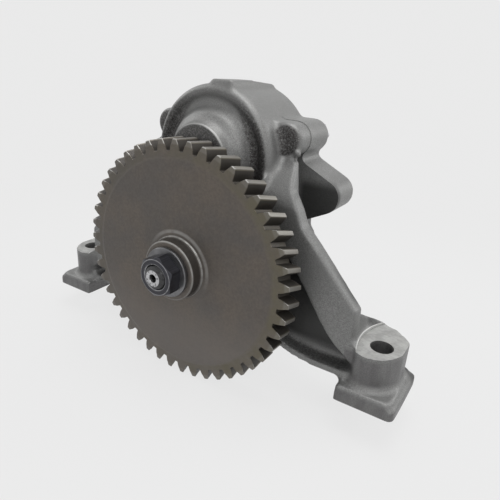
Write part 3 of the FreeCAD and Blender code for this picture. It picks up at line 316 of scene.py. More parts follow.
def iron_soot_and_shade(finish, boss, side, depth, level):
    """Sooty oil and painted shade on surfaces that face the gear: the barrel's roll, the bolt ears,
    and the boss's front disc, which takes the gear's painted shadow.
    """
    # Painted shade: only faces that look forward darken, and the roll darkens towards its lower
    # right and stays lighter at its upper left, where the light falls.
    front = (0 - finish.facing("Y")).step(0.25, 0.8)
    lower = (side - (level - DRIVEN_AXIS[1]) * 0.6).step(-0.012, 0.022)
    roll = (boss + 0.009 * lower).step(0.0335, 0.0365) * (1 - boss.step(0.0372, 0.0392))
    roll = roll * (depth < 0.001) * (0.35 + 0.65 * lower)
    ear = (abs(side - EAR_AXIS[0]) ** 2 + (level - EAR_AXIS[1]) ** 2).root()
    ear = (1 - ear.step(0.0075, 0.0090)) * (depth < 0.0095) * (depth > 0.0)
    # Painted shadow of the gear on the boss's front disc.
    disc = (1 - boss.step(0.0185, 0.0192)) * (depth < -0.0178)
    return front * roll.most(ear.most(disc * 0.7))


def cast_iron(name, colour, milled, grain):
    """Sand-cast iron: speckled grey skin, hollows dark with painted shade and some oil, sooty oil
    and painted shade on faces towards the gear, a painted highlight on the milled arcs, and milled
    tops of the feet.
    """
    finish = Finish(name, 0.5, 0.3)
    side, depth, level = abs(finish.axis("X")), finish.axis("Y"), finish.axis("Z")
    boss = ring_distance(finish, DRIVEN_AXIS)
    feet = side > FOOT_START
    cloud = finish.noise(0.018, 3.0)
    speckle = finish.noise(0.0006, 2.0, 0.6)
    pit = finish.noise(0.0011, 3.0, 0.7)
    soot_and_shade = iron_soot_and_shade(finish, boss, side, depth, level)
    glint = finish.noise(0.0006, 1.0).step(0.60, 0.74) * soot_and_shade
    # Darker on faces that look up, between the legs and below 115 mm.
    upward_dark = finish.facing("Z").step(0.45, 0.9) * (1 - side.step(0.098, 0.104))
    upward_dark = upward_dark * (1 - level.step(0.1, 0.115))
    # Streaky stain on the feet below their milled tops, partly painted shade: only faces that stand
    # upright darken, so the tops stay light.
    upright = 1 - finish.facing("Z").step(0.1, 0.6)
    streaks = finish.noise(0.006, 3.0, 0.6, (1, 1, 0.25)).step(0.3, 0.7)
    foot_streaks_and_shade = (0.4 + 0.6 * streaks) * (1 - level.step(0.026, 0.029)) * feet * upright
    worn = boss.band(0.0190, 0.0196, 0.0202, 0.0206) * (depth < -0.0172)
    arc = ((side - ARC_X) ** 2 + (depth - ARC_Y) ** 2).root()
    # Painted highlight: a thin bright line along the edge of the milled arc.
    arc_highlight = (1 - abs(arc - ARC_RADIUS - 0.0001).step(0.0001, 0.0005)) * (level > 0.0289) * feet

    skin = finish.mix(speckle.step(0.3, 0.7), tone(colour, 0.8), tone(colour, 1.3))
    skin = finish.mix(cloud.step(0.35, 0.7) * 0.5, skin, colour)
    for mask, shade in (
            # Painted shade, with some oil, in the hollows behind the gear.
            (hollow_shade(side, depth, level) * 0.9, tone(colour, 0.2)),
            # Sooty oil with painted shade on the faces towards the gear.
            (soot_and_shade * (0.45 + 0.55 * pit.step(0.35, 0.6)), tone(colour, 0.2, 0.18, 0.18)),
            (upward_dark * (0.35 + 0.5 * pit.step(0.4, 0.6)), tone(colour, 0.35)),
            (foot_streaks_and_shade * 0.6, tone(colour, 0.4, 0.37, 0.4)),
            (glint * 0.5, tone(colour, 2.5)),
            (worn * 0.6, milled),
            (arc_highlight * 0.8, tone(milled, 1.5))):
        skin = finish.mix(mask, skin, shade)

    cut = (abs(level - FOOT_TOP) < 0.00006) * feet
    marks = finish.noise(0.004, 2.0, 0.5, (1, 12, 1))
    stain = finish.noise(0.007, 4.0, 0.65).step(0.35, 0.65)
    bright = finish.mix(marks.step(0.3, 0.7), milled, tone(milled, 1.25))
    bright = finish.mix(stain * 0.5, bright, tone(milled, 0.55))
    finish.set({
        "Base Color": finish.mix(cut, skin, bright),
        "Roughness": 0.33 + 0.2 * cloud - 0.18 * glint + 0.08 * cut,
        "Metallic": 0.45 + 0.35 * cut + 0.4 * glint,
        "Specular IOR Level": 0.4,
    })
    sand = finish.noise(0.0006, 3.0, 0.65)
    lumps = finish.noise(0.0035, 2.0, 0.5)
    finish.bump((0.6 * sand + 0.4 * lumps) * (1 - cut) * (0.7 + 1.3 * soot_and_shade)
                + 0.02 * marks * cut, grain * 3)
    return finish.material


def gear_steel(name, settings):
    """Oiled gear steel: turned face, olive rim, painted shade on the hub wall and the tooth flanks,
    hub edges worn and with painted highlights, bright worn tooth tips with painted glints on their
    bevels.
    """
    finish = Finish(name, 0.42, 0.6)
    colour = settings.colour
    radius, depth = ring_distance(finish, DRIVE_AXIS), finish.axis("Y")
    cloud = finish.noise(0.022, 4.0)
    stain = finish.noise(0.010, 4.0, 0.6)
    ridge = finish.noise(0.004, 3.0).step(0.25, 0.6)
    mottle = finish.noise(0.0016, 3.0, 0.65).step(0.3, 0.7)
    low = 1 - finish.axis("Z").step(0.0, 0.05)
    right = finish.axis("X").step(-0.02, 0.05)
    rim = radius.step(0.0625, 0.066) * (0.35 + 0.65 * right) * stain.step(0.2, 0.7)
    # Painted shade on the hub's wall, next to the face.
    wall = radius.band(0.0175, 0.0181, 0.0194, 0.0200) * (1 - depth.step(-0.0354, -0.0350))
    # Painted shade on the tooth flanks, which face down.
    flank = radius.band(0.0670, 0.0680, 0.0734, 0.0738)
    flank = flank * (depth > settings.front + 0.5 * settings.bevel)

    face = finish.mix(cloud.step(0.3, 0.7), colour, tone(colour, 1.22, 1.14, 1.04))
    for mask, shade in (
            (mottle * 0.35, tone(colour, 0.62)),
            (low * 0.6, tone(colour, 1.55)),
            (rim, tone(colour, 1.12, 1.1, 0.86)),
            (wall * 0.5, tone(colour, 0.2)),
            (flank * 0.8, tone(colour, 0.35))):
        face = finish.mix(mask, face, shade)

    # Painted highlights: the hub's edges, partly worn, brighten on the upper right, where the light
    # falls.
    lit = (finish.axis("X") * 0.5 + finish.axis("Z") - DRIVE_AXIS[1]).step(-0.004, 0.022)
    edges = radius.band(0.0172, 0.0176, 0.0181, 0.01825) * (depth < -0.0415)
    edges = edges + radius.band(0.0187, 0.0190, 0.0193, 0.0197)
    edges = edges * (0.35 + 0.65 * lit) + radius.band(0.0205, 0.0215, 0.0222, 0.0236) * lit * 0.6
    # Painted glints: the tooth bevels brighten most where they face up.
    bevel = radius.step(0.0708, 0.0720) * (depth < settings.front + 0.45 * settings.bevel)
    worn = radius.step(0.0738, 0.0743) * 0.4
    worn = worn.most(bevel * (0.15 + 0.7 * finish.facing("Z").step(0.1, 0.6)))
    worn = worn.most(edges * (0.45 + 0.4 * ridge))
    finish.set({
        "Base Color": finish.mix(worn, face, settings.bright),
        "Roughness": 0.42 + 0.15 * stain - 0.12 * worn,
    })
    rings = turning_rings(finish, radius, 2600.0)
    finish.bump(rings * 0.5 + finish.noise(0.0008, 2.0) * 0.5, 0.00008)
    return finish.material


def nut_steel(name, colour, edge):
    """Blued nut: faint turning rings on its face, and a lighter ring round its bevel and its bore,
    partly wear and partly painted highlight.
    """
    finish = Finish(name, 0.3, 0.7)
    radius, depth = ring_distance(finish, DRIVE_AXIS), finish.axis("Y")
    rings = turning_rings(finish, radius, 1800.0)
    wear = finish.noise(0.002, 3.0, 0.6)
    # Partly wear and partly painted highlight, on the bevel's edge and round the bore.
    rim = radius.band(0.0103, 0.0105, 0.0106, 0.0109) * (depth < -0.0525)
    rim = rim.most((abs(radius - 0.0078) < 0.0003) * (depth < -0.0536))
    face = finish.mix(rings.step(0.35, 0.7) * 0.6, colour, tone(colour, 2.0))
    finish.set({
        "Base Color": finish.mix(rim * (0.5 + 0.5 * wear.step(0.35, 0.65)), face, edge),
        "Roughness": 0.24 + 0.2 * wear,
    })
    finish.bump(rings * 0.6 + wear * 0.4, 0.00006)
    return finish.material


def shaft_steel(name, colour):
    """Ground shaft: its end is worn bright, and painted shade darkens its centre drilling and
    thread.
    """
    finish = Finish(name, 0.28, 0.9)
    radius, depth = ring_distance(finish, DRIVE_AXIS), finish.axis("Y")
    wear = finish.noise(0.0016, 3.0, 0.65)
    skin = finish.mix(wear.step(0.35, 0.5), tone(colour, 0.35), colour)
    thread = (depth < -0.0440) * radius.step(0.0047, 0.0050)
    drilling = (depth < -0.0450) * (1 - radius.step(0.0023, 0.0027))
    # Painted shade in the centre drilling and in the gap between the thread and the nut.
    skin = finish.mix(thread.most(drilling) * 0.93, skin, tone(colour, 0.06))
    finish.set({"Base Color": skin, "Roughness": 0.25 + 0.2 * wear})
    finish.bump(wear, 0.00008)
    return finish.material


def turned_steel(name, colour, roughness):
    """Turned or ground steel with fine streaks."""
    finish = Finish(name, roughness, 0.9)
    streak = finish.noise(0.003, 3.0, 0.6, (1, 14, 1))
    cloud = finish.noise(0.009, 3.0)
    finish.set({
        "Base Color": finish.mix(cloud.step(0.3, 0.7), tone(colour, 0.75), tone(colour, 1.15)),
        "Roughness": roughness * 0.75 + roughness * 0.5 * streak,
    })
    finish.bump(streak, 0.00003)
    return finish.material


# Surfaces.


def finish_piece(name, mesh, material, body, nodes, sharp=32):
    """Makes a mesh a piece that rides on a body and stands for CAD nodes."""
    mesh.materials.clear()
    mesh.materials.append(material)
    mesh.shade_smooth()
    mesh.set_sharp_from_angle(angle=math.radians(sharp))
    piece = bpy.data.objects.new(name, mesh)
    bpy.context.scene.collection.objects.link(piece)
    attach(piece, body)
    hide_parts(*nodes)
    return piece


def grid_mesh(name, rings, closed=False):
    """A mesh over an array of rings, shape (rings, points, 3), in metres.

    Each ring is closed. With closed set, the last ring joins the first; otherwise the end rings
    are closed by a point in their middle. The faces are turned to point outwards."""
    count, points = rings.shape[:2]
    verts = rings.reshape(-1, 3)
    rows = np.arange(count if closed else count - 1)[:, None]
    cols = np.arange(points)[None, :]
    below, above = rows * points, (rows + 1) % count * points
    right = (cols + 1) % points
    quads = np.stack([below + cols, below + right, above + right, above + cols], -1).reshape(-1, 4)
    faces = quads.tolist()
    if not closed:
        verts = np.vstack([verts, rings[0].mean(0), rings[-1].mean(0)])
        for ring, tip, turned in ((0, len(verts) - 2, True), (count - 1, len(verts) - 1, False)):
            start = ring * points + np.arange(points)
            end = ring * points + (np.arange(points) + 1) % points
            fan = np.stack([end, start, np.full(points, tip)], -1)
            faces += (fan if turned else fan[:, [1, 0, 2]]).tolist()
    mesh = bpy.data.meshes.new(name)
    mesh.from_pydata(verts.tolist(), [], faces)
    mesh.validate()
    turn_outwards(mesh)
    return mesh


def turn_outwards(mesh):
    """Flips all faces where the enclosed volume comes out negative."""
    mesh.calc_loop_triangles()
    verts = np.zeros(len(mesh.vertices) * 3)
    mesh.vertices.foreach_get("co", verts)
    verts = verts.reshape(-1, 3)
    tris = np.zeros(len(mesh.loop_triangles) * 3, int)
    mesh.loop_triangles.foreach_get("vertices", tris)
    a, b, c = (verts[tris.reshape(-1, 3)[:, i]] for i in range(3))
    if np.einsum("ij,ij->i", a, np.cross(b, c)).sum() < 0:
        mesh.flip_normals()


def around(angles, radius, along, axis, direction="Y"):
    """Points at angles and radii round an axis; along is the place on that axis.

    For an axis along Y the angle runs from +X to +Z: (x, y, z) = (r cos a, along, r sin a) plus
    the axis' own place. For an axis along X it runs from +Y to +Z."""
    across, up = radius * np.cos(angles), radius * np.sin(angles)
    along = np.broadcast_to(along, across.shape)
    if direction == "X":
        return np.stack([along, axis[0] + across, axis[1] + up], -1)
    return np.stack([axis[0] + across, along, axis[1] + up], -1)


def turned_rings(profile, axis, points=96):
    """Rings of a profile of (radius, along) in millimetres turned round an axis along Y."""
    profile = np.asarray(profile, float) / 1000
    angles = np.linspace(0, 2 * math.pi, points, endpoint=False)[None, :]
    return around(angles, profile[:, :1], profile[:, 1:], axis)


def rounded_profile(corners, radius, steps=4):
    """A profile whose inner corners are rounded: each corner becomes a quadratic curve.

    The curve (1-t)^2 a + 2 t (1-t) corner + t^2 b starts and ends a distance from the corner that
    is the radius, but at most 45% of the shorter side."""
    corners = np.asarray(corners, float)
    out = [corners[:1]]
    t = np.linspace(0, 1, steps)[:, None]
    for before, corner, after in zip(corners[:-2], corners[1:-1], corners[2:]):
        back, ahead = before - corner, after - corner
        reach = min(radius, 0.45 * np.linalg.norm(back), 0.45 * np.linalg.norm(ahead))
        a = corner + back / np.linalg.norm(back) * reach
        b = corner + ahead / np.linalg.norm(ahead) * reach
        out.append((1 - t) ** 2 * a + 2 * t * (1 - t) * corner + t ** 2 * b)
    out.append(corners[-1:])
    return np.vstack(out)


def cylinder_mesh(name, axis, radius, start, end, direction, points=96):
    """A plain closed cylinder along X, Y or Z, in metres, used as a cutter."""
    angles = np.linspace(0, 2 * math.pi, points, endpoint=False)[None, :]
    along = np.array([start, end])[:, None]
    if direction == "Z":
        rings = around(angles, np.full((2, 1), radius), along, axis)[..., [0, 2, 1]]
    else:
        rings = around(angles, np.full((2, 1), radius), along, axis, direction)
    return grid_mesh(name, rings)


def box_mesh(name, low, high):
    """A plain closed box between two corners, in metres, used as a cutter."""
    ends = np.array([low, high])
    ring = np.array([[0, 0], [1, 0], [1, 1], [0, 1]])
    rings = np.array([[[ends[i, 0], ends[j, 1], ends[k, 2]] for i, j in ring] for k in (0, 1)])
    return grid_mesh(name, rings)


# Castings.


def welded_copy(node):
    """A CAD node's triangles as one welded mesh."""
    mesh = frame["nodes"][node].data.copy()
    work = bmesh.new()
    work.from_mesh(mesh)
    bmesh.ops.remove_doubles(work, verts=work.verts, dist=1e-6)
    work.to_mesh(mesh)
    work.free()
    return mesh


def add_stock(mesh, planes, bores, stock):
    """Puts metal back where machining will take it off.

    Points on a plane move outwards by the stock, and points on a bore's wall move towards its
    axis by the stock. A plane is (axis letter, level, sign, test on the points)."""
    points = np.zeros(len(mesh.vertices) * 3)
    mesh.vertices.foreach_get("co", points)
    points = points.reshape(-1, 3)
    moved = points.copy()
    for axis, radius, start, end, direction in bores:
        along = "XYZ".index(direction)
        across = [i for i in range(3) if i != along]
        offset = points[:, across] - np.array(axis)
        distance = np.linalg.norm(offset, axis=1)
        wall = (abs(distance - radius) < 3e-5)
        wall &= (points[:, along] > start - 1e-5) & (points[:, along] < end + 1e-5)
        shrink = np.where(wall, -min(stock, radius * 0.4) / np.maximum(distance, 1e-9), 0)
        moved[:, across] += offset * shrink[:, None]
    for letter, level, sign, low, high in planes:
        along = "XYZ".index(letter)
        on = abs(points[:, along] - level) < 2e-5
        on &= (points > np.array(low)).all(1) & (points < np.array(high)).all(1)
        moved[on, along] += sign * stock
    mesh.vertices.foreach_set("co", moved.ravel())
    mesh.update()


def joined_mesh(name, meshes):
    """Several closed meshes in one."""
    work = bmesh.new()
    for mesh in meshes:
        work.from_mesh(mesh)
    whole = bpy.data.meshes.new(name)
    work.to_mesh(whole)
    work.free()
    return whole


def cutter_object(meshes):
    """Cutters that go together, as one helper object."""
    helper = bpy.data.objects.new("Cutter", joined_mesh("Cutter", meshes))
    bpy.context.scene.collection.objects.link(helper)
    return helper


def difference(raw, helper):
    """Cuts a helper out of the casting."""
    cut = raw.modifiers.new("Cut", "BOOLEAN")
    cut.operation = "DIFFERENCE"
    cut.solver = "EXACT"
    cut.object = helper


def cast_skin(name, mesh, settings, hollows):
    """The raw casting: the solid's surface swells by the fillet and shrinks back on an even grid.

    Inner corners that the swollen surface fills keep a fillet, and outer corners stay. The first
    and last grid passes are followed by some smoothing, and hollows are cut after the first, so
    that they get cast edges."""
    raw = bpy.data.objects.new(name, mesh)
    bpy.context.scene.collection.objects.link(raw)
    for step, passes in ((settings.fillet, 2), (-settings.fillet, 0), (0.0, settings.softness)):
        skin = raw.modifiers.new("Skin", "REMESH")
        skin.mode = "VOXEL"
        skin.voxel_size = settings.grid
        if passes:
            soft = raw.modifiers.new("Soft", "SMOOTH")
            soft.factor = 0.5
            soft.iterations = passes
        if hollows and step > 0:
            difference(raw, hollows)
        if step:
            swell = raw.modifiers.new("Swell", "DISPLACE")
            swell.strength = step
            swell.mid_level = 0.0
    return raw


def machine(raw, cutters):
    """Cuts each group of cutters out of the raw casting and returns the finished mesh."""
    helpers = [cutter_object(group) for group in cutters]
    for helper in helpers:
        difference(raw, helper)
    bpy.context.view_layer.update()
    depsgraph = bpy.context.evaluated_depsgraph_get()
    mesh = bpy.data.meshes.new_from_object(raw.evaluated_get(depsgraph), depsgraph=depsgraph)
    for helper in helpers + [raw]:
        bpy.data.objects.remove(helper)
    return mesh


def field_mesh(name, side, top, base):
    """A closed lump between a top grid of points and a base grid of the same shape.

    The arrays have the shape (rows, columns, 3), in millimetres, for the right side. Each row of
    the top and the same row of the base backwards make a ring."""
    rings = np.concatenate([top, base[:, ::-1]], 1) / 1000
    return grid_mesh(name, rings * np.array([side, 1, 1]))


def foot_ramp(side):
    """The cast ramp behind the leg that falls from the leg's back to the foot's rear corner.

    Its ridge lies 3.5 mm outside the milled arc, at the height 46.3 - 0.6 y. Towards the arc it
    falls to the raw top as (distance / 3.5) ^ 1.6, and away from the arc as a parabola."""
    y, s = np.meshgrid(np.linspace(-4, 26.5, 26), np.linspace(-1, 8, 19), indexing="ij")
    x = 154.8 - np.sqrt((50 + s) ** 2 - (y - 2) ** 2)
    ridge = np.maximum(46.3 - 0.6 * np.maximum(y, -1) - 30.2, 0.2)
    share = np.where(s < 3.5, np.clip(s / 3.5, 0, 1) ** 1.6, 1 - 0.7 * ((s - 3.5) / 4.5) ** 2)
    top = np.stack([x, y, 30.2 + ridge * share], -1)
    base = np.stack([x, y, np.full_like(x, 20.0)], -1)
    return field_mesh("Ramp", side, top, base)


def shoulder(side, cut=False):
    """The smooth shoulder between the leg's front, the barrel's side and the bolt ear.

    Its front lies at y = -11 + 15 v ^ 1.5, where v goes up from the leg to the ear. It is a lump
    behind that front or, with cut set, the space in front of it from the barrel outwards."""
    u, v = np.meshgrid(np.linspace(0, 1, 15), np.linspace(0, 1, 17), indexing="ij")
    low, high = 100.0 - 2.5 * u, 119.0 + 2.5 * u
    z = low * (1 - v) + high * v
    barrel = np.sqrt((BARREL * 1000) ** 2 - (z - DRIVEN_AXIS[1] * 1000) ** 2)
    start = barrel + 0.3 if cut else barrel - 3
    end = 70 * (1 - v) + 62 * v if cut else 60 * (1 - v) + 52 * v
    x = start + (end - start) * u
    slope = np.stack([x, -11 + 15 * v ** 1.5, z], -1)
    other = np.stack([x, np.full_like(x, -30.0) if cut else 10.5 * v - 1.5, z], -1)
    return field_mesh("Shoulder", side, *((other, slope) if cut else (slope, other)))


def foot_flare(side):
    """What stays free above the milled face: a cylinder of radius 50 mm that flares upwards.

    The wall leaves the arc as a quarter of an ellipse, 1.6 mm wide and 7 mm high, and gives way
    further at the leg's front corner, by 3.4 mm times the square of (-y - 4) / 7."""
    angles = np.linspace(0, 2 * math.pi, 256, endpoint=False)[None, :]
    wide = np.array([-0.4, 0.0, 0.5, 0.9, 1.2, 1.45, 1.6, 1.6, 1.6])[:, None]
    high = np.array([30.2, 30.25, 30.6, 31.2, 32.1, 33.6, 37.2, 45, 80])[:, None]
    corner = np.clip((-2 - 50 * np.sin(angles) - 4) / 7, 0, 1.3) ** 2 * 3.4
    corner = np.where(np.cos(angles) < 0, corner, 0) * np.clip((high - 30.4) / 3, 0, 1)
    radius = 50 + wide + corner
    rings = np.stack([side * (154.8 + radius * np.cos(angles)), 2 + radius * np.sin(angles),
                      high + 0 * angles], -1) / 1000
    return grid_mesh("Flare", rings)


def body_machining():
    """Planes, bores and cutters of the front casting."""
    planes = [("Y", JOINT, 1, *EVERYWHERE), ("Z", 0.0, -1, *EVERYWHERE),
              ("Y", BOSS_FRONT, -1, *EVERYWHERE)]
    bores = [(DRIVE_AXIS, DRIVE_BORE, BOSS_FRONT, JOINT, "Y"),
             (DRIVEN_AXIS, DRIVEN_BORE, BOSS_FRONT + 0.004, JOINT, "Y"),
             (VALVE_AXIS, VALVE_BORE, -0.058, 0.012, "X")]
    slabs = [box_mesh("Joint", (-0.1, JOINT, 0.001), (0.1, 0.03, 0.18)),
             box_mesh("Under", (-0.15, -0.03, -0.01), (0.15, 0.03, 0.0)),
             box_mesh("Bosses", (-0.05, -0.03, 0.015), (0.05, BOSS_FRONT, 0.145))]
    for side in (-1, 1):
        ends = sorted((side * FOOT_START, side * 0.14))
        planes.append(("Z", FOOT_TOP, 1, (ends[0], -0.02, -1), (ends[1], 0.03, 1)))
        bores.append(((side * FOOT_X, 0.0), FOOT_BORE, 0.0, FOOT_TOP, "Z"))
        slabs.append(cylinder_mesh("Milling", (side * ARC_X, ARC_Y), ARC_RADIUS, FOOT_TOP, 0.07,
                                   "Z", 256))
    # Each bore is cut from a little in front of its start to a little behind its end.
    ahead = {DRIVE_AXIS: 0.01, DRIVEN_AXIS: 0.0, VALVE_AXIS: 0.02}
    behind = {"Y": 0.01, "X": 0.0, "Z": 0.04 - FOOT_TOP}
    holes = [cylinder_mesh("Bore", axis, radius, start - ahead.get(axis, 0.01),
                           end + behind[direction], direction)
             for axis, radius, start, end, direction in bores]
    return planes, bores, [slabs, holes]


def housing_machining():
    """Planes, bores and cutters of the rear casting."""
    planes = [("Y", JOINT, -1, *EVERYWHERE)]
    bores, chambers, holes = [], [], []
    for axis, radius in ((DRIVE_AXIS, DRIVE_BORE), (DRIVEN_AXIS, DRIVEN_BORE)):
        bores += [(axis, CHAMBER, JOINT, CHAMBER_BACK, "Y"),
                  (axis, radius, CHAMBER_BACK, REAR_END, "Y")]
        chambers.append(cylinder_mesh("Chamber", axis, CHAMBER, 0.01, CHAMBER_BACK, "Y", 192))
        holes.append(cylinder_mesh("Bore", axis, radius, CHAMBER_BACK - 0.0001, 0.07, "Y"))
    slabs = [box_mesh("Joint", (-0.1, 0.01, 0.001), (0.1, JOINT, 0.18))]
    return planes, bores, [slabs, [chambers[0], holes[1]], [chambers[1], holes[0]]]


class OBJECT_OT_pump_castings(bpy.types.Operator):
    """Front and rear castings with soft cast edges and machined faces"""
    bl_idname = "object.pump_castings"
    bl_label = "Castings"

    def execute(self, context):
        settings = context.scene.pump_casting
        iron = cast_iron("cast_iron", settings.colour, settings.milled, settings.grain)
        for node, machining in (("pump_body", body_machining), ("rear_housing", housing_machining)):
            planes, bores, cutters = machining()
            mesh = welded_copy(node)
            add_stock(mesh, planes, bores, settings.stock)
            hollows = None
            if node == "pump_body":
                extra = [make(side) for make in (foot_ramp, shoulder) for side in (-1, 1)]
                mesh = joined_mesh(node + "_raw", [mesh] + extra)
                hollows = cutter_object([foot_flare(-1), foot_flare(1), shoulder(-1, True),
                                         shoulder(1, True)])
            raw = cast_skin(node + "_raw", mesh, settings, hollows)
            finish_piece(node + "_cast", machine(raw, cutters), iron, "casting", [node],
                         38)
            if hollows:
                bpy.data.objects.remove(hollows)
        return {"FINISHED"}


# Helical gear.


def involute(angle):
    """The involute function of an angle in radians."""
    return np.tan(angle) - angle


def tooth_outline(settings, per_flank=7):
    """Radii and angles of the tooth outline at the front face, as two arrays.

    The half angle of a tooth at radius r is h - inv(acos(base / r)), where h is the half angle of
    its thickness at the pitch circle plus inv(pressure angle); a cosine blends flank and root."""
    module = settings.module / math.cos(settings.helix)
    pressure = math.atan(math.tan(settings.pressure) / math.cos(settings.helix))
    pitch = module * settings.teeth / 2
    base = pitch * math.cos(pressure)
    tip, root = pitch + settings.module, pitch - 1.25 * settings.module
    half = math.pi / (2 * settings.teeth) - 0.00005 / pitch + involute(pressure)
    flank = np.linspace(root + 0.0009, tip - 0.00025, per_flank)
    width = half - involute(np.arccos(np.minimum(1, base / np.maximum(flank, base))))
    space = math.pi / settings.teeth
    root_radii = np.array([root, root, root + 0.00012, root + 0.0004])
    root_widths = width[0] + (space - width[0]) * np.array([1.0, 0.45, 0.2, 0.05])
    tip_radii = np.array([tip - 0.00006, tip])
    tip_widths = np.array([width[-1] - 0.00012 / tip, width[-1] - 0.0004 / tip])
    radii = np.concatenate([root_radii, flank, tip_radii])
    widths = np.concatenate([root_widths, width, tip_widths])
    tooth_radii = np.concatenate([radii, radii[::-1][:-1]])
    tooth_angles = np.concatenate([-widths, widths[::-1][:-1]])
    starts = math.pi + settings.turn + np.arange(settings.teeth) * 2 * math.pi / settings.teeth
    angles = (starts[:, None] + tooth_angles[None, :]).ravel()
    return np.tile(tooth_radii, settings.teeth), angles, pitch


def helical_gear(settings):
    """The gear as rings from the bore over the hub, face, teeth and back to the bore.

    Every ring has the angles of the tooth outline. Across the teeth the outline turns by
    y tan(helix) / pitch radius and keeps its radii; elsewhere a ring is a circle."""
    radii, angles, pitch = tooth_outline(settings)
    front, back = settings.front, settings.front + settings.width
    tip = radii.max()
    face = rounded_profile(np.array([
        (10.0, -8.8), (10.6, -9.0), (16.8, -9.0), (18.3, -8.3), (18.3, -2.4), (19.1, -1.9),
        (19.3, -1.2), (21.6, -0.9), (23.2, -0.6), (63.4, -0.6), (64.9, -0.1), (66.3, 0.0),
    ]), 0.5)
    behind = np.array([(66.3, 14.0), (26.0, 14.0), (23.5, 15.4), (10.6, 15.4), (10.0, 15.2)])
    rings, turns = [], []
    for radius, height in face / 1000:
        rings.append((np.full_like(radii, radius), front + height))
        turns.append(0.0)
    bevel = settings.bevel
    for inset, y in ((0.45, 0.0), (0.2, 0.15), (0.0, 0.45)):
        rings.append((np.minimum(radii, tip) - bevel * inset * (radii > pitch), front + y * bevel))
        turns.append(y * bevel)
    for share in np.linspace(0.1, 0.9, 7):
        rings.append((radii, front + share * settings.width))
        turns.append(share * settings.width)
    for inset, y in ((0.0, 0.45), (0.2, 0.15), (0.45, 0.0)):
        rings.append((radii - bevel * inset * (radii > pitch), back - y * bevel))
        turns.append(settings.width - y * bevel)
    for radius, height in behind / 1000:
        rings.append((np.full_like(radii, radius), front + height))
        turns.append(settings.width)
    twist = -np.tan(settings.helix) / pitch
    points = [around(angles + twist * turn, ring, height, DRIVE_AXIS)
              for (ring, height), turn in zip(rings, turns)]
    return grid_mesh("drive_gear_teeth", np.array(points), closed=True)


class OBJECT_OT_pump_gear(bpy.types.Operator):
    """Helical drive gear with its hub"""
    bl_idname = "object.pump_gear"
    bl_label = "Helical gear"

    def execute(self, context):
        settings = context.scene.pump_gear
        finish_piece("helical_gear", helical_gear(settings), gear_steel("gear_steel", settings),
                     "drive_train", ["drive_gear"], 30)
        return {"FINISHED"}


# Fixings.


def hex_rings(flats, front, height, bore, turn, points=240):
    """Rings of the hexagon nut with turned corners.

    Its radius at angle a is flats / 2 / cos(a folded into -30..30 degrees), but never more than a
    cone that starts at 47.5% of the flats on the face and widens at 30 degrees to the face."""
    angles = np.linspace(0, 2 * math.pi, points, endpoint=False)
    folded = (angles - turn + math.pi / 6) % (math.pi / 3) - math.pi / 6
    outline = flats / 2 / np.cos(folded)
    depths = np.concatenate([np.linspace(0, 0.1 * flats, 12), [height - 0.04 * flats, height]])
    cone = 0.475 * flats + depths * math.tan(math.radians(60))
    cone[-2:] = flats, flats * 0.56
    rings = [around(angles, np.minimum(outline, limit), front + depth, DRIVE_AXIS)
             for limit, depth in zip(cone, depths)]
    rings += [around(angles, np.full_like(angles, radius), front + depth, DRIVE_AXIS)
              for radius, depth in ((bore, height - 0.0006), (bore, 0.0008), (bore + 0.0009, 0.0))]
    return np.array(rings)


def shaft_thread(settings):
    """The front end of the drive shaft: thread, bevel and centre drilling.

    The thread's radius is crest - depth |2 frac(y / pitch - a / 2 pi) - 1|, a ridge that climbs by
    one pitch in each turn."""
    angles = np.linspace(0, 2 * math.pi, 96, endpoint=False)
    crest, depth, nose = 0.00697, 0.0008, 0.0054
    rings = []

    def ring(radius, y):
        rings.append(around(angles, radius + 0 * angles, SHAFT_FRONT + y, DRIVE_AXIS))

    for radius, y in ((0.0003, 0.0062), (0.0015, 0.0058), (0.0015, 0.0026), (0.0023, 0.0004),
                      (0.0026, 0.0), (0.0049, 0.0), (nose, 0.0004)):
        ring(radius, y)
    for y in np.arange(0.0005, 0.0135, settings.pitch / 8):
        ridge = abs(2 * ((y / settings.pitch - angles / (2 * math.pi)) % 1) - 1)
        ring(np.minimum(crest - depth * ridge, nose + (y - 0.0004) * 1.3), y)
    for radius, y in np.array([(6.9, 13.6), (9.6, 13.6), (10.0, 14.0), (10.0, 37.0), (11.6, 37.0),
                               (12.0, 37.4), (12.0, 104.0), (10.5, 105.5), (5.0, 105.5)]) / 1000:
        ring(radius, y)
    return grid_mesh("drive_shaft_end", np.array(rings))


class OBJECT_OT_pump_gear_fixing(bpy.types.Operator):
    """Shaft end, washer and nut that hold the gear"""
    bl_idname = "object.pump_gear_fixing"
    bl_label = "Gear fixing"

    def execute(self, context):
        settings = context.scene.pump_fixing
        blued = nut_steel("blued_steel", settings.blued, settings.plated)
        ground = shaft_steel("ground_steel", settings.ground)
        plated = turned_steel("plated_steel", tone(settings.plated, 0.55), 0.33)
        nut = grid_mesh("gear_nut_hex", hex_rings(settings.nut_flats, NUT_FRONT, 0.0083, 0.0070,
                                                  math.radians(-8)), closed=True)
        finish_piece("hex_nut", nut, blued, "drive_train", ["gear_nut"], 28)
        profile = rounded_profile([(7.4, -45.6), (14.6, -45.6), (15.0, -45.2), (15.0, -43.1),
                                   (7.4, -43.1)], 0.4)
        washer = grid_mesh("gear_washer_disc", turned_rings(profile, DRIVE_AXIS), closed=True)
        finish_piece("thrust_washer", washer, plated, "drive_train", ["gear_washer"],
                     28)
        finish_piece("threaded_shaft", shaft_thread(settings), ground, "drive_train",
                     ["drive_shaft"], 28)
        return {"FINISHED"}


def plain_finish(node, material):
    """Gives a carried-over CAD node a material."""
    mesh = frame["nodes"][node].data
    mesh.materials.clear()
    mesh.materials.append(material)


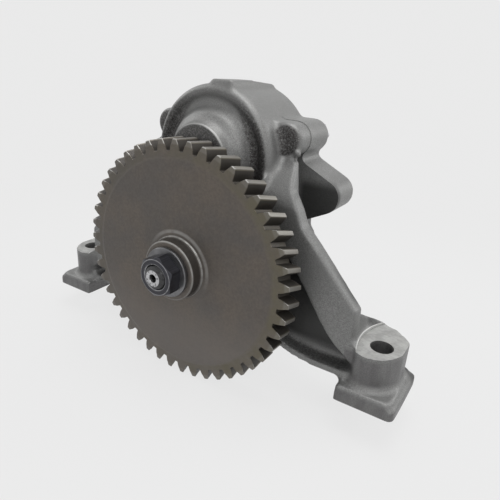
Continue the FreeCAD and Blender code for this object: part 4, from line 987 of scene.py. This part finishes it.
def valve_spring(material):
    """The relief valve's spring, as a piece on the casting with a mesh of its own."""
    spring = finish_piece("valve_spring", welded_copy("relief_spring"), material, "casting",
                          ["relief_spring"])
    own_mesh(spring)


class OBJECT_OT_pump_small_parts(bpy.types.Operator):
    """Finishes of the bushes, inner gears, bolts and valve parts"""
    bl_idname = "object.pump_small_parts"
    bl_label = "Small parts"

    def execute(self, context):
        settings = context.scene.pump_fixing
        finishes = {
            "bronze": turned_steel("bronze", settings.bronze, 0.35),
            "ground_steel": turned_steel("inner_steel", settings.ground, 0.3),
            "washer_steel": turned_steel("sheet_steel", settings.plated, 0.4),
            "bolt_steel": turned_steel("bolt_steel", settings.plated, 0.45),
            "seal_copper": turned_steel("copper", settings.copper, 0.35),
            "spring_steel": turned_steel("wire", tone(settings.plated, 0.5), 0.4),
            "nut_steel": turned_steel("dark_steel", settings.blued, 0.35),
        }
        valve_spring(finishes["spring_steel"])
        done = {"pump_body", "rear_housing", "drive_gear", "gear_nut", "gear_washer",
                "drive_shaft", "relief_spring"}
        for entry in frame["record"]["subparts"]:
            if entry["node"] not in done:
                plain_finish(entry["node"], finishes[entry["material_slot"]])
        return {"FINISHED"}


# Stage.


def area_light(name, place, target, size, power):
    light = bpy.data.lights.new(name, "AREA")
    light.shape = "RECTANGLE"
    light.size, light.size_y = size
    light.energy = power
    lamp = bpy.data.objects.new(name, light)
    lamp.location = place
    lamp.rotation_euler = (Vector(target) - Vector(place)).to_track_quat("-Z", "Y").to_euler()
    bpy.context.scene.collection.objects.link(lamp)


def pale_floor(name, colour):
    """A floor that takes a soft shadow near the object and is the backdrop's plain colour
    farther out."""
    finish = Finish(name, 0.9, 0.0)
    finish.set({"Base Color": (0.78, 0.78, 0.78, 1.0), "Specular IOR Level": 0.1})
    rays = finish.node("ShaderNodeLightPath", output="Is Camera Ray")
    for kind in ("Is Glossy Ray", "Is Transmission Ray"):
        rays = rays.most(finish.node("ShaderNodeLightPath", output=kind))
    plain = finish.node("ShaderNodeEmission", inputs={"Color": (*colour, 1.0), "Strength": 1.0})
    output = finish.tree.nodes["Material Output"]
    across, along = finish.axis("X"), finish.axis("Y")
    far = (across * across + along * along).root().step(0.18, 0.55)
    mixed = finish.node("ShaderNodeMixShader", inputs={
        0: rays * (0.9 + 0.1 * far), 1: Socket(finish, finish.shader.outputs[0]), 2: plain})
    finish.tree.links.new(mixed.output, output.inputs[0])
    return finish.material


def studio_world(name, colour):
    """The room: seen by the camera and in reflections as the backdrop, dimmer as a light."""
    world = bpy.data.worlds.new(name)
    world.use_nodes = True
    nodes, links = world.node_tree.nodes, world.node_tree.links
    room = nodes["Background"]
    room.inputs["Color"].default_value = (0.98, 0.99, 1.0, 1)
    room.inputs["Strength"].default_value = 0.55
    seen = nodes.new("ShaderNodeBackground")
    seen.inputs["Color"].default_value = (*colour, 1)
    rays = nodes.new("ShaderNodeLightPath")
    mixed = nodes.new("ShaderNodeMixShader")
    shown = rays.outputs["Is Camera Ray"]
    for kind in ("Is Glossy Ray", "Is Transmission Ray"):
        either = nodes.new("ShaderNodeMath")
        either.operation = "MAXIMUM"
        links.new(shown, either.inputs[0])
        links.new(rays.outputs[kind], either.inputs[1])
        shown = either.outputs[0]
    links.new(shown, mixed.inputs[0])
    links.new(room.outputs[0], mixed.inputs[1])
    links.new(seen.outputs[0], mixed.inputs[2])
    links.new(mixed.outputs[0], nodes["World Output"].inputs[0])
    return world


class OBJECT_OT_pump_stage(bpy.types.Operator):
    """Pale floor, softboxes and the camera"""
    bl_idname = "object.pump_stage"
    bl_label = "Stage"

    def execute(self, context):
        scene = context.scene
        settings = scene.pump_stage
        level = CAD_BOX[0][2] - 0.0002
        mesh = bpy.data.meshes.new("floor")
        reach = 6.0
        mesh.from_pydata([(-reach, -reach, level), (reach, -reach, level), (reach, reach, level),
                          (-reach, reach, level)], [], [(0, 1, 2, 3)])
        mesh.materials.append(pale_floor("pale_floor", settings.floor))
        floor = bpy.data.objects.new("floor", mesh)
        scene.collection.objects.link(floor)

        middle = (0.0, 0.0, 0.07)
        power = settings.lamp
        area_light("top_softbox", (0.1, 0.1, 0.95), middle, (0.7, 0.5), 5.0 * power)
        area_light("rear_softbox", (0.7, 0.7, 0.5), middle, (0.5, 0.5), 2.4 * power)
        area_light("left_softbox", (-0.95, 0.0, 0.6), middle, (0.5, 0.5), 2.0 * power)
        area_light("front_softbox", (0.6, -0.6, 0.75), middle, (0.4, 0.4), 2.2 * power)
        scene.world = studio_world("studio", settings.floor)

        camera = bpy.data.cameras.new("camera")
        camera.sensor_width = 36
        camera.lens = settings.lens
        camera.clip_start = 0.01
        view = bpy.data.objects.new("camera", camera)
        right = Vector((0.84263582, 0.53526904, 0.05875312))
        up = Vector((-0.24485757, 0.2836971, 0.92712498))
        turn = Matrix((right, up, right.cross(up))).transposed()
        view.matrix_world = Matrix.Translation(Vector(settings.place)) @ turn.to_4x4()
        scene.collection.objects.link(view)
        scene.camera = view
        scene.view_settings.view_transform = "Standard"
        return {"FINISHED"}


class VIEW3D_PT_pump(bpy.types.Panel):
    """Lists the pump's pieces and their sizes"""
    bl_idname = "VIEW3D_PT_pump"
    bl_label = "Oil pump"
    bl_space_type = "VIEW_3D"
    bl_region_type = "UI"
    bl_category = "Oil pump"

    def draw(self, context):
        for operator in STEPS:
            self.layout.operator(operator.bl_idname)
        for name in GROUPS:
            box = self.layout.box()
            group = getattr(context.scene, name)
            for prop in group.bl_rna.properties:
                if not prop.is_readonly and prop.identifier not in {"name", "rna_type"}:
                    box.prop(group, prop.identifier)


STEPS = (OBJECT_OT_pump_stage, OBJECT_OT_pump_castings, OBJECT_OT_pump_gear,
         OBJECT_OT_pump_gear_fixing, OBJECT_OT_pump_small_parts)
GROUPS = {"pump_casting": CastingSettings, "pump_gear": GearSettings,
          "pump_fixing": FixingSettings, "pump_stage": StageSettings}


def register():
    for group in GROUPS.values():
        bpy.utils.register_class(group)
    for name, group in GROUPS.items():
        setattr(bpy.types.Scene, name, PointerProperty(type=group))
    for operator in STEPS:
        bpy.utils.register_class(operator)
    bpy.utils.register_class(VIEW3D_PT_pump)


def unregister():
    bpy.utils.unregister_class(VIEW3D_PT_pump)
    for operator in reversed(STEPS):
        bpy.utils.unregister_class(operator)
    for name, group in GROUPS.items():
        delattr(bpy.types.Scene, name)
        bpy.utils.unregister_class(group)


def main():
    register()
    bpy.ops.object.pump_stage()
    bpy.ops.object.pump_castings()
    bpy.ops.object.pump_gear()
    bpy.ops.object.pump_gear_fixing()
    bpy.ops.object.pump_small_parts()


if __name__ == "__main__":
    main()
